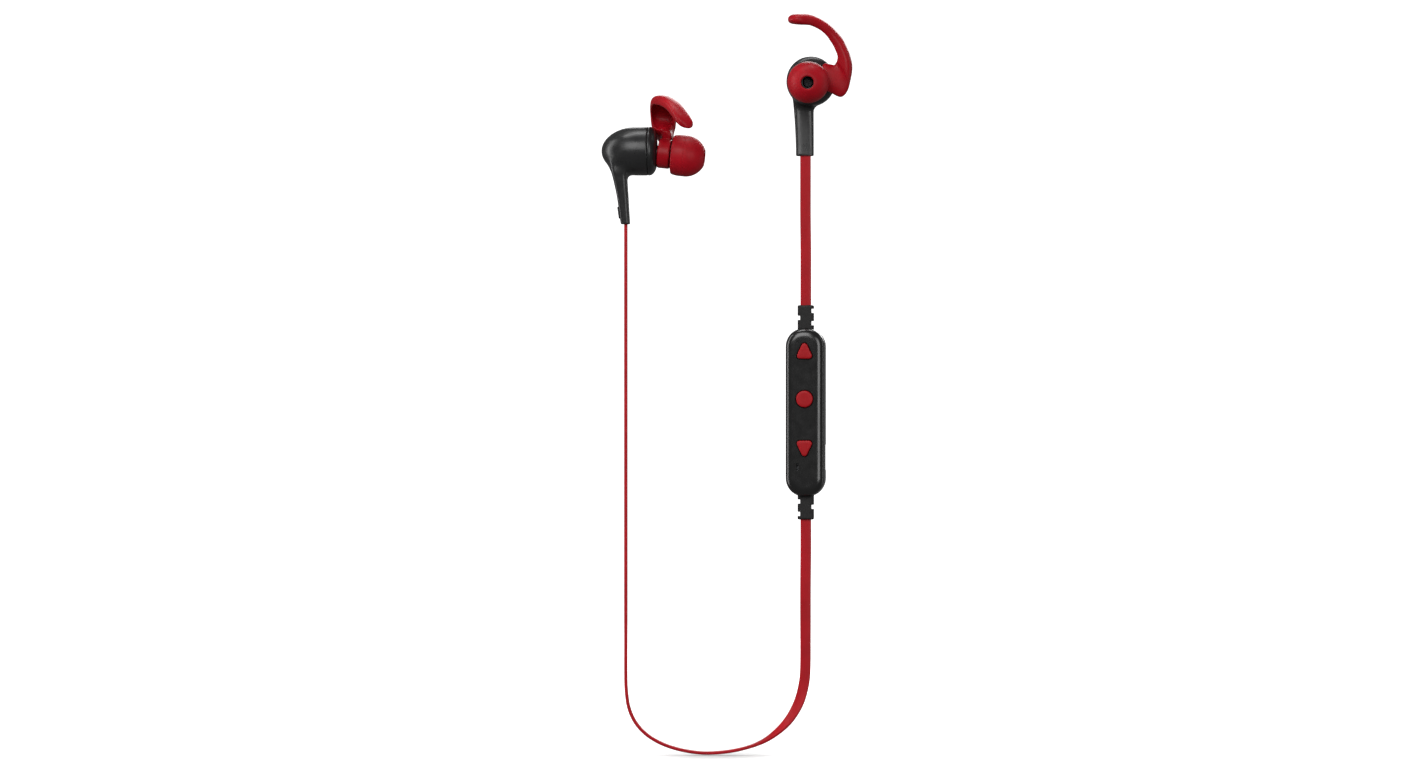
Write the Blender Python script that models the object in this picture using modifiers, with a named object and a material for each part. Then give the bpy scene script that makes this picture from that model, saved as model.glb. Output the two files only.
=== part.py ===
"""Wireless in-ear sport earphones.

Two earbuds with silicone ear hooks and ear tips hang on a flat ribbon cable with an in-line
remote. The set is held by its right ear tip, whose mouth is the origin. +Z is up, and the
right ear tip and the remote's buttons face -Y. All sizes are in metres.
"""

import math

import bmesh
import bpy
from mathutils import Matrix, Vector

NAME = "neckband_earphones"

# ---- Clearances and facets
GAP = 0.0003              # between two pieces that touch on the real object
MERGE = 0.00001           # vertices nearer than this are one vertex
SIDES = 28                # facets round a housing
SMALL_SIDES = 20          # facets round a small turned piece
CHANNEL_SIDES = 10
ALONG_NOZZLE = (math.pi / 2, 0, 0)      # turns local +Z to -Y
FACING_FRONT = (math.pi / 2, 0, 0)      # stands an outline in XY upright in XZ
BROADSIDE = -math.pi / 2                # a ribbon turn with its face to the front

# ---- Earbud. Its own origin is where the cable leaves the stem; the nozzle points to -Y.
# "Ahead" is the distance from the cable towards the nozzle.
HOUSING_X = 0.0016
HOUSING_Z = 0.0220
HOUSING_RADIUS = 0.00735
HOUSING_WALL = 0.0012
HOUSING_BACK = -0.0074    # rear pole of the dome, ahead
HOUSING_WIDEST = 0.0036   # where the dome is widest, ahead
HOUSING_SEAM = 0.0066     # where the rear housing ends, ahead
HOUSING_FRONT = 0.0093    # face of the front housing, ahead
DOME_POWER = 2.0          # 2 is an ellipse, more is fuller
FRONT_CORNER_WIDTH = 0.0038   # of the rounding between the front face and the side
FRONT_CORNER_DEPTH = 0.0024
FRONT_FACE_WALL = 0.0011
FRONT_INNER_CORNER = (0.0012, 0.0015)   # in from the side, and deeper than the face's back
SPIGOT_WALL = 0.0009
SPIGOT_DEPTH = 0.0020

# Stem sections: height, back and front (ahead), left and right.
STEM_SECTIONS = (
    (0.0000, -0.00145, 0.00130, -0.00285, 0.0025),
    (0.0030, -0.00190, 0.00110, -0.00290, 0.0025),
    (0.0084, -0.00265, 0.00080, -0.00310, 0.0025),
    (0.0137, -0.00380, 0.00050, -0.00345, 0.0025),
    (0.0165, -0.00460, 0.00060, -0.00370, 0.0026),
    (0.0190, -0.00530, 0.00150, -0.00350, 0.0026),
)
STEM_POWER = 4.0
WIRE_CHANNEL_RADIUS = 0.00045
WIRE_CHANNEL_LENGTH = 0.0185
WIRE_CHANNEL_START = (-0.0003, 0.0011, -0.0010)
WIRE_CHANNEL_TILT = math.radians(6.5)

MARKER_SIZE = (0.0020, 0.0008, 0.0036)
MARKER_Z = 0.0035
MARKER_AHEAD = -0.00192
MARKER_TILT = math.radians(8)

# ---- Nozzle. Distances along it start at the front housing's face.
NOZZLE_SHIFT = (-0.0005, -0.0006)       # from the housing's axis, sideways and up
NOZZLE_SIDE_TILT = math.radians(3)
NOZZLE_DROP = math.radians(6)
NOZZLE_RADIUS = 0.0023
NOZZLE_BORE = 0.0016
NOZZLE_LENGTH = 0.0108
NOZZLE_ROOT = -0.0005     # start of the tube, inside the front cover's wall
BORE_ROOT = -0.0025       # start of the bore, inside the housing
BARB_RADIUS = 0.0026
BARB_LENGTH = 0.0016
MESH_THICKNESS = 0.00025
MESH_RECESS = 0.0005

# ---- Ear hook: a ring on the nozzle and a blade that curls over towards the ear
RING_START = 0.0004
RING_END = 0.0042
RING_RADIUS = 0.0044
# Blade sections about the nozzle's axis: inner edge x, z; outer edge x, z; then how far the
# middle is ahead of the ring's middle, and half the section's depth.
BLADE_SECTIONS = (
    (0.00315, 0.0018, 0.00315, -0.0018, -0.0001, 0.00180),
    (0.0043, 0.0054, 0.0058, -0.0029, 0.0001, 0.00170),
    (0.0060, 0.0057, 0.0098, -0.0045, -0.0006, 0.00225),
    (0.0069, 0.0066, 0.0120, -0.0008, -0.0018, 0.00365),
    (0.0075, 0.0082, 0.0129, 0.0054, -0.0020, 0.00395),
    (0.0066, 0.0106, 0.0107, 0.0119, -0.0019, 0.00400),
    (0.0049, 0.0130, 0.0079, 0.0156, -0.0012, 0.00390),
    (0.0027, 0.0150, 0.0046, 0.0184, 0.0007, 0.00350),
    (-0.0002, 0.0165, 0.0007, 0.0202, 0.0032, 0.00310),
    (-0.0029, 0.0170, -0.0026, 0.0205, 0.0058, 0.00310),
    (-0.0043, 0.0175, -0.0043, 0.0201, 0.0072, 0.00250),
    (-0.0052, 0.0183, -0.0052, 0.0190, 0.0080, 0.00080),
)
BLADE_POWER = 2.6
HANG_EASE = 0.0015                      # how gently the blade starts to hang, ahead of the ring
BLADE_STEPS = 2
BLADE_SIDES = 12

# ---- Ear tip: a domed skirt folded back over a sleeve
TIP_START = 0.0046
TIP_END = 0.0149
TIP_RADIUS = 0.0062
TIP_MOUTH = 0.0019
TIP_SKIN = 0.0008
TIP_EDGE = (0.0003, 0.0004)             # the skirt edge's rounding, in and along
TIP_HOLLOW_STEP = math.radians(14)
SLEEVE_RECESS = 0.0005                  # from the skirt's edge to the sleeve's
SLEEVE_BORE = 0.0029
SLEEVE_RADIUS = 0.0037
SLEEVE_END = 0.0118

# ---- Driver, on the housing's axis, ahead
DRIVER_BACK = 0.0006
DRIVER_FRONT = 0.0041
DRIVER_RADIUS = 0.0055
DRIVER_WALL = 0.0005
DRIVER_SHOULDER = 0.0006
MAGNET_RADIUS = 0.0030
MAGNET_THICKNESS = 0.0014
COIL_RADIUS = 0.0036
COIL_WALL = 0.0003
COIL_LENGTH = 0.0010
DIAPHRAGM_RISE = 0.0004
DIAPHRAGM_FULLNESS = 0.75     # share of the rise reached half way out
DIAPHRAGM_SKIN = 0.0002

# ---- Where the earbuds hang
CABLE_Y = 0.0226
RIGHT_STEM_END = (-0.0003, CABLE_Y, -0.0219)
RIGHT_TURN = (math.radians(-4), 0.0, 0.0)
RIGHT_HOOK_TURN = 0.0
RIGHT_HOOK_LEAN = 0.0
LEFT_STEM_END = (-0.0542, CABLE_Y, -0.0424)
LEFT_TURN = (0.0, 0.0, math.radians(87))
LEFT_HOOK_TURN = math.radians(-36)
LEFT_HOOK_LEAN = 0.45      # how far the soft left hook hangs for each unit that it reaches ahead

# ---- Remote. Its own origin is its middle; the buttons face -Y.
REMOTE_AT = (-0.0002, CABLE_Y, -0.0988)
REMOTE_TURN = math.radians(-6)
REMOTE_WIDTH = 0.0117
REMOTE_LENGTH = 0.0505
REMOTE_DEPTH = 0.0090
REMOTE_CORNER = 0.0055
REMOTE_WALL = 0.0012
REMOTE_BEVEL = 0.0018
CORNER_STEPS = 8

BUTTON_SIZE = 0.0050
BUTTON_PROUD = 0.0003
BUTTON_FLANGE_RADIUS = 0.0031
BUTTON_FLANGE = 0.0005
BUTTON_NUB_RADIUS = 0.0009
BUTTON_NUB = 0.0005
TRIANGLE_CORNER = 0.0009
TRIANGLE_FOOT = 0.00135    # from the middle line to the centre of a foot's corner
TRIANGLE_RISE = 0.00142    # from the middle to the height of the corners' centres
VOLUME_UP_Z = 0.0184
MULTIFUNCTION_Z = 0.0040
VOLUME_DOWN_Z = -0.0108

BOARD_SIZE = (0.0084, 0.0008, 0.0420)
BOARD_Y = -0.0002
SWITCH_SIZE = (0.0030, 0.0006, 0.0030)
SWITCH_Y = -0.0012
BATTERY_SIZE = (0.0076, 0.0023, 0.0240)
BATTERY_Z = 0.0050
MODULE_SIZE = (0.0050, 0.0008, 0.0050)
MODULE_Z = -0.0036
MICROPHONE_SIZE = (0.0022, 0.0010, 0.0026)
MICROPHONE_X = -0.0029
MICROPHONE_Z = -0.0195
MICROPHONE_PORT = 0.0005      # radius of the hole in the front cover's side
PORT_Y = -0.0014
PORT_Z = -0.0175
SOCKET_SIZE = (0.0050, 0.0024, 0.0074)
SOCKET_SHELL = 0.0003
WINDOW_CORNER = 0.0005
SOCKET_RECESS = 0.0004     # from the remote's side in to the socket's mouth
SOCKET_FLOOR = 0.0006
SOCKET_Z = -0.0135
BOARD_BACK = BOARD_Y + BOARD_SIZE[1] / 2
BOARD_FRONT = BOARD_Y - BOARD_SIZE[1] / 2
SOCKET_Y = BOARD_BACK + GAP + SOCKET_SIZE[1] / 2
LIGHT_SIZE = (0.0016, 0.0018, 0.0028)
LIGHT_X = -0.0021
LIGHT_Z = -0.0163
LIGHT_SLIT = (0.0006, 0.0021)

RELIEF_WIDTH = 0.0048
RELIEF_DEPTH = 0.0030
RELIEF_LENGTH = 0.0066
RELIEF_NECK = (0.0030, 0.0018)
RELIEF_FLANGE = (0.0042, 0.0030, 0.0010)
RELIEF_FLANGE_INSET = 0.0025
NECK_OVERLAP = 0.0010         # of the neck into the sleeve
RELIEF_SLOT_DEPTH = 0.0040
NOTCH_DEPTH = 0.0008
NOTCH_HEIGHT = 0.0012
# Each notch: its side of the relief, and its height above the remote's end.
NOTCHES = ((1, 0.0052), (-1, 0.0031), (1, 0.0015))
CUTTER_DEPTH = 0.0040         # of the cutters for buttons, light slit, port and socket

# ---- Ribbon cable
RIBBON_WIDTH = 0.0032
RIBBON_THICKNESS = 0.0011
RIBBON_POINTS = 48
SHORT_RIBBON_POINTS = 10
# The long ribbon's route from the lower strain relief round the loop to the left stem: x, z.
LOOP_ROUTE = (
    (-0.0002, -0.1310), (-0.0002, -0.1400), (-0.0003, -0.1520), (-0.0003, -0.1640),
    (-0.0003, -0.1730), (-0.0005, -0.1782), (-0.0011, -0.1818), (-0.0021, -0.1853),
    (-0.0038, -0.1888), (-0.0060, -0.1919), (-0.0089, -0.1947), (-0.0123, -0.1971),
    (-0.0164, -0.1989), (-0.0209, -0.2001), (-0.0257, -0.2008), (-0.0305, -0.2010),
    (-0.0353, -0.2005), (-0.0401, -0.1994), (-0.0446, -0.1976), (-0.0485, -0.1950),
    (-0.0515, -0.1915), (-0.0533, -0.1873), (-0.0540, -0.1827), (-0.0542, -0.1779),
    (-0.0542, -0.1650), (-0.0542, -0.1450), (-0.0542, -0.1250), (-0.0542, -0.1050),
    (-0.0542, -0.0850), (-0.0542, -0.0650), (-0.0542, -0.0500), (-0.0542, -0.0427),
)
# Lengths along that route between which the ribbon turns from broadside to edge-on.
TWIST_START = 0.043
TWIST_END = 0.079
SHORT_ROUTE = (
    (-0.0003, -0.0222), (-0.0003, -0.0300), (-0.0003, -0.0400), (-0.0002, -0.0500),
    (-0.0002, -0.0600), (-0.0002, -0.0666),
)

# ---- Colours (linear), roughness and metallic
FINISHES = {
    "silicone": ((0.34, 0.006, 0.014), 0.45, 0.0),
    "ribbon": ((0.40, 0.012, 0.018), 0.50, 0.0),
    "housing": ((0.030, 0.030, 0.032), 0.18, 0.0),
    "remote": ((0.012, 0.012, 0.013), 0.15, 0.0),
    "button": ((0.34, 0.010, 0.014), 0.40, 0.0),
    "rubber": ((0.015, 0.014, 0.014), 0.70, 0.0),
    "steel": ((0.55, 0.55, 0.56), 0.30, 1.0),
    "magnet": ((0.35, 0.35, 0.36), 0.35, 1.0),
    "copper": ((0.72, 0.30, 0.12), 0.35, 1.0),
    "film": ((0.20, 0.20, 0.22), 0.40, 0.0),
    "board": ((0.01, 0.10, 0.04), 0.50, 0.0),
    "chip": ((0.02, 0.02, 0.02), 0.50, 0.0),
    "cell": ((0.45, 0.46, 0.48), 0.35, 0.6),
    "lens": ((0.70, 0.72, 0.75), 0.20, 0.0),
}


# ---------------------------------------------------------------- scene and small helpers

def clear_scene():
    for thing in list(bpy.data.objects):
        bpy.data.objects.remove(thing, do_unlink=True)


def new_collection(name):
    collection = bpy.data.collections.new(name)
    bpy.context.scene.collection.children.link(collection)
    return collection


def new_material(name, finish):
    color, roughness, metallic = FINISHES[finish]
    material = bpy.data.materials.new(name)
    material.use_nodes = True
    shader = material.node_tree.nodes["Principled BSDF"]
    shader.inputs["Base Color"].default_value = (*color, 1.0)
    shader.inputs["Roughness"].default_value = roughness
    shader.inputs["Metallic"].default_value = metallic
    return material


def new_empty(name, location, rotation, parent=None):
    empty = bpy.data.objects.new(name, None)
    empty.location = location
    empty.rotation_euler = rotation
    empty.parent = parent
    PARTS.objects.link(empty)
    return empty


def place(mesh, name, parent, location=(0, 0, 0), rotation=(0, 0, 0), finish=None):
    """A new object: a part where it has a finish, and otherwise a cutter."""
    thing = bpy.data.objects.new(name, mesh)
    thing.location = location
    thing.rotation_euler = rotation
    thing.parent = parent
    if finish:
        mesh.materials.append(new_material(name, finish))
        PARTS.objects.link(thing)
        return thing
    thing.hide_render = True
    thing.display_type = "WIRE"
    CUTTERS.objects.link(thing)
    return thing


def finish_mesh(bm, name):
    """The bmesh as a closed, outward-facing, smooth-shaded mesh."""
    bmesh.ops.remove_doubles(bm, verts=bm.verts, dist=MERGE)
    bmesh.ops.recalc_face_normals(bm, faces=bm.faces)
    mesh = bpy.data.meshes.new(name)
    bm.to_mesh(mesh)
    bm.free()
    mesh.shade_smooth()
    mesh.set_sharp_from_angle(angle=math.radians(35))
    return mesh


def combine(thing, cutter, operation):
    modifier = thing.modifiers.new(f"{operation.lower()}_{cutter.name}", "BOOLEAN")
    modifier.object = cutter
    modifier.operation = operation
    modifier.solver = "EXACT"


def block_mesh(name, size, bevel=0.0):
    bm = bmesh.new()
    bmesh.ops.create_cube(bm, size=1.0, matrix=Matrix.Diagonal((*size, 1.0)))
    if bevel:
        bmesh.ops.bevel(bm, geom=bm.edges[:], offset=bevel, segments=2, affect="EDGES", profile=0.5)
    return finish_mesh(bm, name)


def cylinder_mesh(name, radius, length, sides=SMALL_SIDES):
    """A cylinder about its local Z."""
    bm = bmesh.new()
    bmesh.ops.create_cone(bm, cap_ends=True, segments=sides, radius1=radius, radius2=radius,
                          depth=length)
    return finish_mesh(bm, name)


def turned(profile, name, parent, closed=False, sides=SMALL_SIDES, **placing):
    """A profile of (radius, height) turned about local Z, running down its outer side."""
    mesh = bpy.data.meshes.new(name)
    points = [(radius, 0.0, height) for radius, height in profile]
    edges = [(i, i + 1) for i in range(len(points) - 1)]
    if closed:
        edges.append((len(points) - 1, 0))
    mesh.from_pydata(points, edges, [])
    thing = place(mesh, name, parent, **placing)
    screw = thing.modifiers.new("turn", "SCREW")
    screw.axis = "Z"
    screw.steps = sides
    screw.render_steps = sides
    screw.use_merge_vertices = True
    screw.merge_threshold = MERGE
    screw.use_smooth_shade = True
    return thing


def loft_mesh(name, rings):
    """Faces between rings of points, with both ends capped."""
    bm = bmesh.new()
    rows = [[bm.verts.new(point) for point in ring] for ring in rings]
    count = len(rows[0])
    for low, high in zip(rows, rows[1:]):
        for i in range(count):
            j = (i + 1) % count
            bm.faces.new((low[i], low[j], high[j], high[i]))
    bm.faces.new(rows[0][::-1])
    bm.faces.new(rows[-1])
    return finish_mesh(bm, name)


def outline_mesh(name, points, thickness):
    """A flat outline in local XY, filled and given a thickness along local Z."""
    curve = bpy.data.curves.new(name, "CURVE")
    curve.dimensions = "2D"
    curve.fill_mode = "BOTH"
    curve.extrude = thickness / 2
    spline = curve.splines.new("POLY")
    spline.points.add(len(points) - 1)
    for point, (x, y) in zip(spline.points, points):
        point.co = (x, y, 0.0, 1.0)
    spline.use_cyclic_u = True
    thing = bpy.data.objects.new(name, curve)
    CUTTERS.objects.link(thing)
    graph = bpy.context.evaluated_depsgraph_get()
    bm = bmesh.new()
    bm.from_mesh(bpy.data.meshes.new_from_object(thing.evaluated_get(graph)))
    bpy.data.objects.remove(thing, do_unlink=True)
    bmesh.ops.remove_doubles(bm, verts=bm.verts, dist=MERGE)
    bmesh.ops.dissolve_limit(bm, angle_limit=math.radians(1), verts=bm.verts, edges=bm.edges)
    return finish_mesh(bm, name)


def smooth_between(stations, steps):
    """Rows of numbers read from a smooth curve through the given rows."""
    rows = []
    last = len(stations) - 1
    for i in range(last):
        before = stations[max(i - 1, 0)]
        after = stations[min(i + 2, last)]
        for k in range(steps):
            t = k / steps
            row = []
            for a, b, c, d in zip(before, stations[i], stations[i + 1], after):
                row.append(b + 0.5 * t * (c - a + t * (2 * a - 5 * b + 4 * c - d
                                                       + t * (3 * (b - c) + d - a))))
            rows.append(tuple(row))
    rows.append(tuple(stations[last]))
    return rows


def rounded_power(angle, power):
    """A point on a unit superellipse."""
    c, s = math.cos(angle), math.sin(angle)
    x = math.copysign(abs(c) ** (2 / power), c)
    y = math.copysign(abs(s) ** (2 / power), s)
    return x, y


# ---------------------------------------------------------------- earbud

def dome_radius(ahead, radius, back):
    """Half width of the dome, fullest at HOUSING_WIDEST and nothing at its back."""
    if ahead >= HOUSING_WIDEST:
        return radius
    share = (HOUSING_WIDEST - ahead) / (HOUSING_WIDEST - back)
    return radius * max(0.0, 1 - share ** DOME_POWER) ** (1 / DOME_POWER)


def dome_profile(radius, back, front, rows):
    """From the axis at the front, out, and back along the dome to its rear pole."""
    profile = [(0.0, front), (radius, front), (radius, HOUSING_WIDEST)]
    for i in range(1, rows):
        angle = math.pi / 2 * i / rows
        ahead = HOUSING_WIDEST - (HOUSING_WIDEST - back) * math.sin(angle)
        profile.append((dome_radius(ahead, radius, back), ahead))
    profile.append((0.0, back))
    return profile


def stem_mesh(name):
    rings = []
    for z, back, front, left, right in smooth_between(STEM_SECTIONS, 2):
        ring = []
        for i in range(16):
            x, y = rounded_power(2 * math.pi * (i + 0.5) / 16, STEM_POWER)
            ring.append(((left + right) / 2 + x * (right - left) / 2,
                         -(back + front) / 2 + y * (front - back) / 2, z))
        rings.append(ring)
    return loft_mesh(name, rings)


def add_rear_housing(side, bud, axis):
    shell = turned(dome_profile(HOUSING_RADIUS, HOUSING_BACK, HOUSING_SEAM, 9),
                   f"{side}_rear_housing", axis, sides=SIDES,
                   rotation=ALONG_NOZZLE, finish="housing")
    stem = place(stem_mesh(f"{side}_stem_form"), f"{side}_stem_form", bud)
    cavity = turned(dome_profile(HOUSING_RADIUS - HOUSING_WALL, HOUSING_BACK + HOUSING_WALL,
                                 HOUSING_FRONT, 6),
                    f"{side}_cavity_form", axis, sides=SIDES, rotation=ALONG_NOZZLE)
    x, y, z = WIRE_CHANNEL_START
    channel = place(cylinder_mesh(f"{side}_channel_form", WIRE_CHANNEL_RADIUS, WIRE_CHANNEL_LENGTH,
                                  CHANNEL_SIDES),
                    f"{side}_channel_form", bud, location=(x, y, z + WIRE_CHANNEL_LENGTH / 2),
                    rotation=(-WIRE_CHANNEL_TILT, 0, 0))
    pocket = place(block_mesh(f"{side}_pocket_form", [size + 2 * GAP for size in MARKER_SIZE]),
                   f"{side}_pocket_form", bud, location=(0, -MARKER_AHEAD, MARKER_Z),
                   rotation=(-MARKER_TILT, 0, 0))
    combine(shell, stem, "UNION")
    combine(shell, cavity, "DIFFERENCE")
    combine(shell, channel, "DIFFERENCE")
    combine(shell, pocket, "DIFFERENCE")
    place(block_mesh(f"{side}_side_marker", MARKER_SIZE, bevel=0.0002), f"{side}_side_marker", bud,
          location=(0, -MARKER_AHEAD, MARKER_Z), rotation=(-MARKER_TILT, 0, 0), finish="rubber")


def front_profile():
    """The front cover with the spigot that fits in the rear housing, as a closed profile."""
    spigot = HOUSING_RADIUS - HOUSING_WALL - GAP
    inside = spigot - SPIGOT_WALL
    rim = HOUSING_SEAM + GAP
    ceiling = HOUSING_FRONT - FRONT_FACE_WALL
    corner_in, corner_down = FRONT_INNER_CORNER
    profile = [(0.0, HOUSING_FRONT)]
    for i in range(6):
        angle = math.pi / 2 * i / 5
        profile.append((HOUSING_RADIUS - FRONT_CORNER_WIDTH * (1 - math.sin(angle)),
                        HOUSING_FRONT - FRONT_CORNER_DEPTH * (1 - math.cos(angle))))
    profile[-1] = (HOUSING_RADIUS, rim)
    profile += [(spigot, rim), (spigot, rim - SPIGOT_DEPTH), (inside, rim - SPIGOT_DEPTH),
                (inside, ceiling - corner_down), (inside - corner_in, ceiling), (0.0, ceiling)]
    return profile


def add_front_housing(side, axis, nozzle):
    shell = turned(front_profile(), f"{side}_front_housing", axis, sides=SIDES,
                   rotation=ALONG_NOZZLE, finish="housing")
    barb = NOZZLE_LENGTH - BARB_LENGTH
    tube = turned([(0.0, NOZZLE_LENGTH), (NOZZLE_RADIUS, NOZZLE_LENGTH), (BARB_RADIUS, barb),
                   (NOZZLE_RADIUS, barb), (NOZZLE_RADIUS, NOZZLE_ROOT), (0.0, NOZZLE_ROOT)],
                  f"{side}_nozzle_form", nozzle, rotation=ALONG_NOZZLE)
    bore_end = NOZZLE_LENGTH - BORE_ROOT
    bore = place(cylinder_mesh(f"{side}_bore_form", NOZZLE_BORE, bore_end - BORE_ROOT),
                 f"{side}_bore_form", nozzle, location=(0, -(bore_end + BORE_ROOT) / 2, 0),
                 rotation=ALONG_NOZZLE)
    combine(shell, tube, "UNION")
    combine(shell, bore, "DIFFERENCE")
    place(cylinder_mesh(f"{side}_nozzle_mesh", NOZZLE_BORE - GAP, MESH_THICKNESS),
          f"{side}_nozzle_mesh", nozzle, location=(0, -(NOZZLE_LENGTH - MESH_RECESS), 0),
          rotation=ALONG_NOZZLE, finish="steel")


def blade_mesh(name, turn, lean):
    """The hook's blade: sections square to the curve through their middles.

    Ahead of the ring it hangs by its lean, straight down once the blade is turned about the nozzle.
    """
    down = Vector((math.sin(turn), 0, -math.cos(turn)))
    middle = (RING_START + RING_END) / 2
    rows = smooth_between(BLADE_SECTIONS, BLADE_STEPS)
    centres = [Vector(((xi + xo) / 2, -(middle + ahead), (zi + zo) / 2))
               for xi, zi, xo, zo, ahead, _ in rows]
    rings = []
    for i, (xi, zi, xo, zo, _, half_depth) in enumerate(rows):
        tangent = centres[min(i + 1, len(rows) - 1)] - centres[max(i - 1, 0)]
        across = Vector((xo - xi, 0, zo - zi))
        half_width = across.length / 2
        across.normalize()
        depth = tangent.cross(across).normalized()
        ring = []
        for k in range(BLADE_SIDES):
            u, v = rounded_power(2 * math.pi * k / BLADE_SIDES, BLADE_POWER)
            point = centres[i] + across * u * half_width + depth * v * half_depth
            ahead = -point.y - middle
            ring.append(point + down * lean * (ahead + math.hypot(ahead, HANG_EASE)) / 2)
        rings.append(ring)
    return loft_mesh(name, rings)


def add_ear_hook(side, nozzle, turn, lean):
    ring = place(cylinder_mesh(f"{side}_ear_hook", RING_RADIUS, RING_END - RING_START, SIDES),
                 f"{side}_ear_hook", nozzle, location=(0, -(RING_START + RING_END) / 2, 0),
                 rotation=ALONG_NOZZLE, finish="silicone")
    blade = place(blade_mesh(f"{side}_blade_form", turn, lean), f"{side}_blade_form", nozzle,
                  rotation=(0, turn, 0))
    bore = place(cylinder_mesh(f"{side}_ring_bore_form", NOZZLE_RADIUS + GAP, 0.01),
                 f"{side}_ring_bore_form", nozzle, rotation=ALONG_NOZZLE)
    combine(ring, blade, "UNION")
    combine(ring, bore, "DIFFERENCE")


def tip_profile():
    """The ear tip's section: mouth, dome, skirt edge, hollow, sleeve and sleeve bore."""
    dome_centre = TIP_END - TIP_RADIUS
    inner = TIP_RADIUS - TIP_SKIN
    start = math.asin(TIP_MOUTH / TIP_RADIUS)
    profile = []
    for i in range(8):
        angle = start + (math.pi / 2 - start) * i / 7
        profile.append((TIP_RADIUS * math.sin(angle), dome_centre + TIP_RADIUS * math.cos(angle)))
    edge_in, edge_along = TIP_EDGE
    profile += [(TIP_RADIUS - edge_in, TIP_START + edge_along), (TIP_RADIUS - 2 * edge_in, TIP_START),
                (inner - edge_in, TIP_START), (inner, dome_centre)]
    for i in range(1, 5):
        angle = math.pi / 2 - TIP_HOLLOW_STEP * i
        profile.append((inner * math.sin(angle), dome_centre + inner * math.cos(angle)))
    profile += [(SLEEVE_RADIUS, dome_centre + edge_along),
                (SLEEVE_RADIUS, TIP_START + SLEEVE_RECESS),
                (SLEEVE_BORE, TIP_START + SLEEVE_RECESS), (SLEEVE_BORE, SLEEVE_END),
                (TIP_MOUTH, SLEEVE_END + 2 * edge_in)]
    return profile


def add_ear_tip(side, nozzle):
    turned(tip_profile(), f"{side}_ear_tip", nozzle, closed=True, sides=SIDES,
           rotation=ALONG_NOZZLE, finish="silicone")


def add_driver(side, axis):
    floor = DRIVER_BACK + DRIVER_WALL
    inner = DRIVER_RADIUS - DRIVER_WALL
    seat = DRIVER_FRONT - DIAPHRAGM_SKIN - DIAPHRAGM_RISE - GAP
    turned([(DRIVER_RADIUS, DRIVER_FRONT), (DRIVER_RADIUS, DRIVER_BACK), (0.0, DRIVER_BACK),
            (0.0, floor), (inner - DRIVER_SHOULDER, floor), (inner - DRIVER_SHOULDER, seat - GAP),
            (inner, seat - GAP), (inner, DRIVER_FRONT)],
           f"{side}_driver_frame", axis, closed=True, rotation=ALONG_NOZZLE, finish="steel")
    turned([(0.0, floor + GAP + MAGNET_THICKNESS), (MAGNET_RADIUS, floor + GAP + MAGNET_THICKNESS),
            (MAGNET_RADIUS, floor + GAP), (0.0, floor + GAP)],
           f"{side}_driver_magnet", axis, rotation=ALONG_NOZZLE, finish="magnet")
    coil_top = seat - GAP
    turned([(COIL_RADIUS + COIL_WALL, coil_top), (COIL_RADIUS + COIL_WALL, coil_top - COIL_LENGTH),
            (COIL_RADIUS, coil_top - COIL_LENGTH), (COIL_RADIUS, coil_top)],
           f"{side}_voice_coil", axis, closed=True, rotation=ALONG_NOZZLE, finish="copper")
    edge = inner - GAP
    halfway = DIAPHRAGM_RISE * DIAPHRAGM_FULLNESS
    turned([(0.0, seat + DIAPHRAGM_RISE + DIAPHRAGM_SKIN),
            (edge / 2, seat + halfway + DIAPHRAGM_SKIN), (edge, seat + DIAPHRAGM_SKIN),
            (edge, seat), (edge / 2, seat + halfway), (0.0, seat + DIAPHRAGM_RISE)],
           f"{side}_diaphragm", axis, rotation=ALONG_NOZZLE, finish="film")


def add_earbud(side, stem_end, turn, hook_turn, hook_lean):
    bud = new_empty(f"{side}_earbud", stem_end, turn)
    axis = new_empty(f"{side}_housing_axis", (HOUSING_X, 0, HOUSING_Z), (0, 0, 0), bud)
    direction = Matrix.Rotation(-NOZZLE_SIDE_TILT, 3, "Z") @ Matrix.Rotation(NOZZLE_DROP, 3, "X")
    nozzle = new_empty(f"{side}_nozzle_axis", (NOZZLE_SHIFT[0], -HOUSING_FRONT, NOZZLE_SHIFT[1]),
                       direction.to_euler(), axis)
    add_rear_housing(side, bud, axis)
    add_front_housing(side, axis, nozzle)
    add_driver(side, axis)
    add_ear_hook(side, nozzle, hook_turn, hook_lean)
    add_ear_tip(side, nozzle)


# ---------------------------------------------------------------- remote

def rounded_outline(width, length, corner, steps):
    """A rectangle with round corners, anticlockwise."""
    points = []
    middles = ((1, 1), (-1, 1), (-1, -1), (1, -1))
    for quarter, (sx, sy) in enumerate(middles):
        centre = (sx * (width / 2 - corner), sy * (length / 2 - corner))
        for i in range(steps + 1):
            angle = math.pi / 2 * (quarter + i / steps)
            points.append((centre[0] + corner * math.cos(angle),
                           centre[1] + corner * math.sin(angle)))
    return points


def rounded_triangle(corner, upward):
    """An isosceles triangle with round corners, anticlockwise, its middle at the origin."""
    centres = ((TRIANGLE_FOOT, -TRIANGLE_RISE), (0.0, TRIANGLE_RISE),
               (-TRIANGLE_FOOT, -TRIANGLE_RISE))
    lean = math.atan2(TRIANGLE_FOOT, 2 * TRIANGLE_RISE)
    headings = (-math.pi / 2, lean, math.pi - lean, 3 * math.pi / 2)
    points = []
    for (x, y), start, end in zip(centres, headings, headings[1:]):
        for i in range(CORNER_STEPS // 2 + 1):
            angle = start + (end - start) * i / (CORNER_STEPS // 2)
            points.append((x + corner * math.cos(angle), y + corner * math.sin(angle)))
    if upward:
        return points
    return [(-x, -y) for x, y in points]


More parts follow.
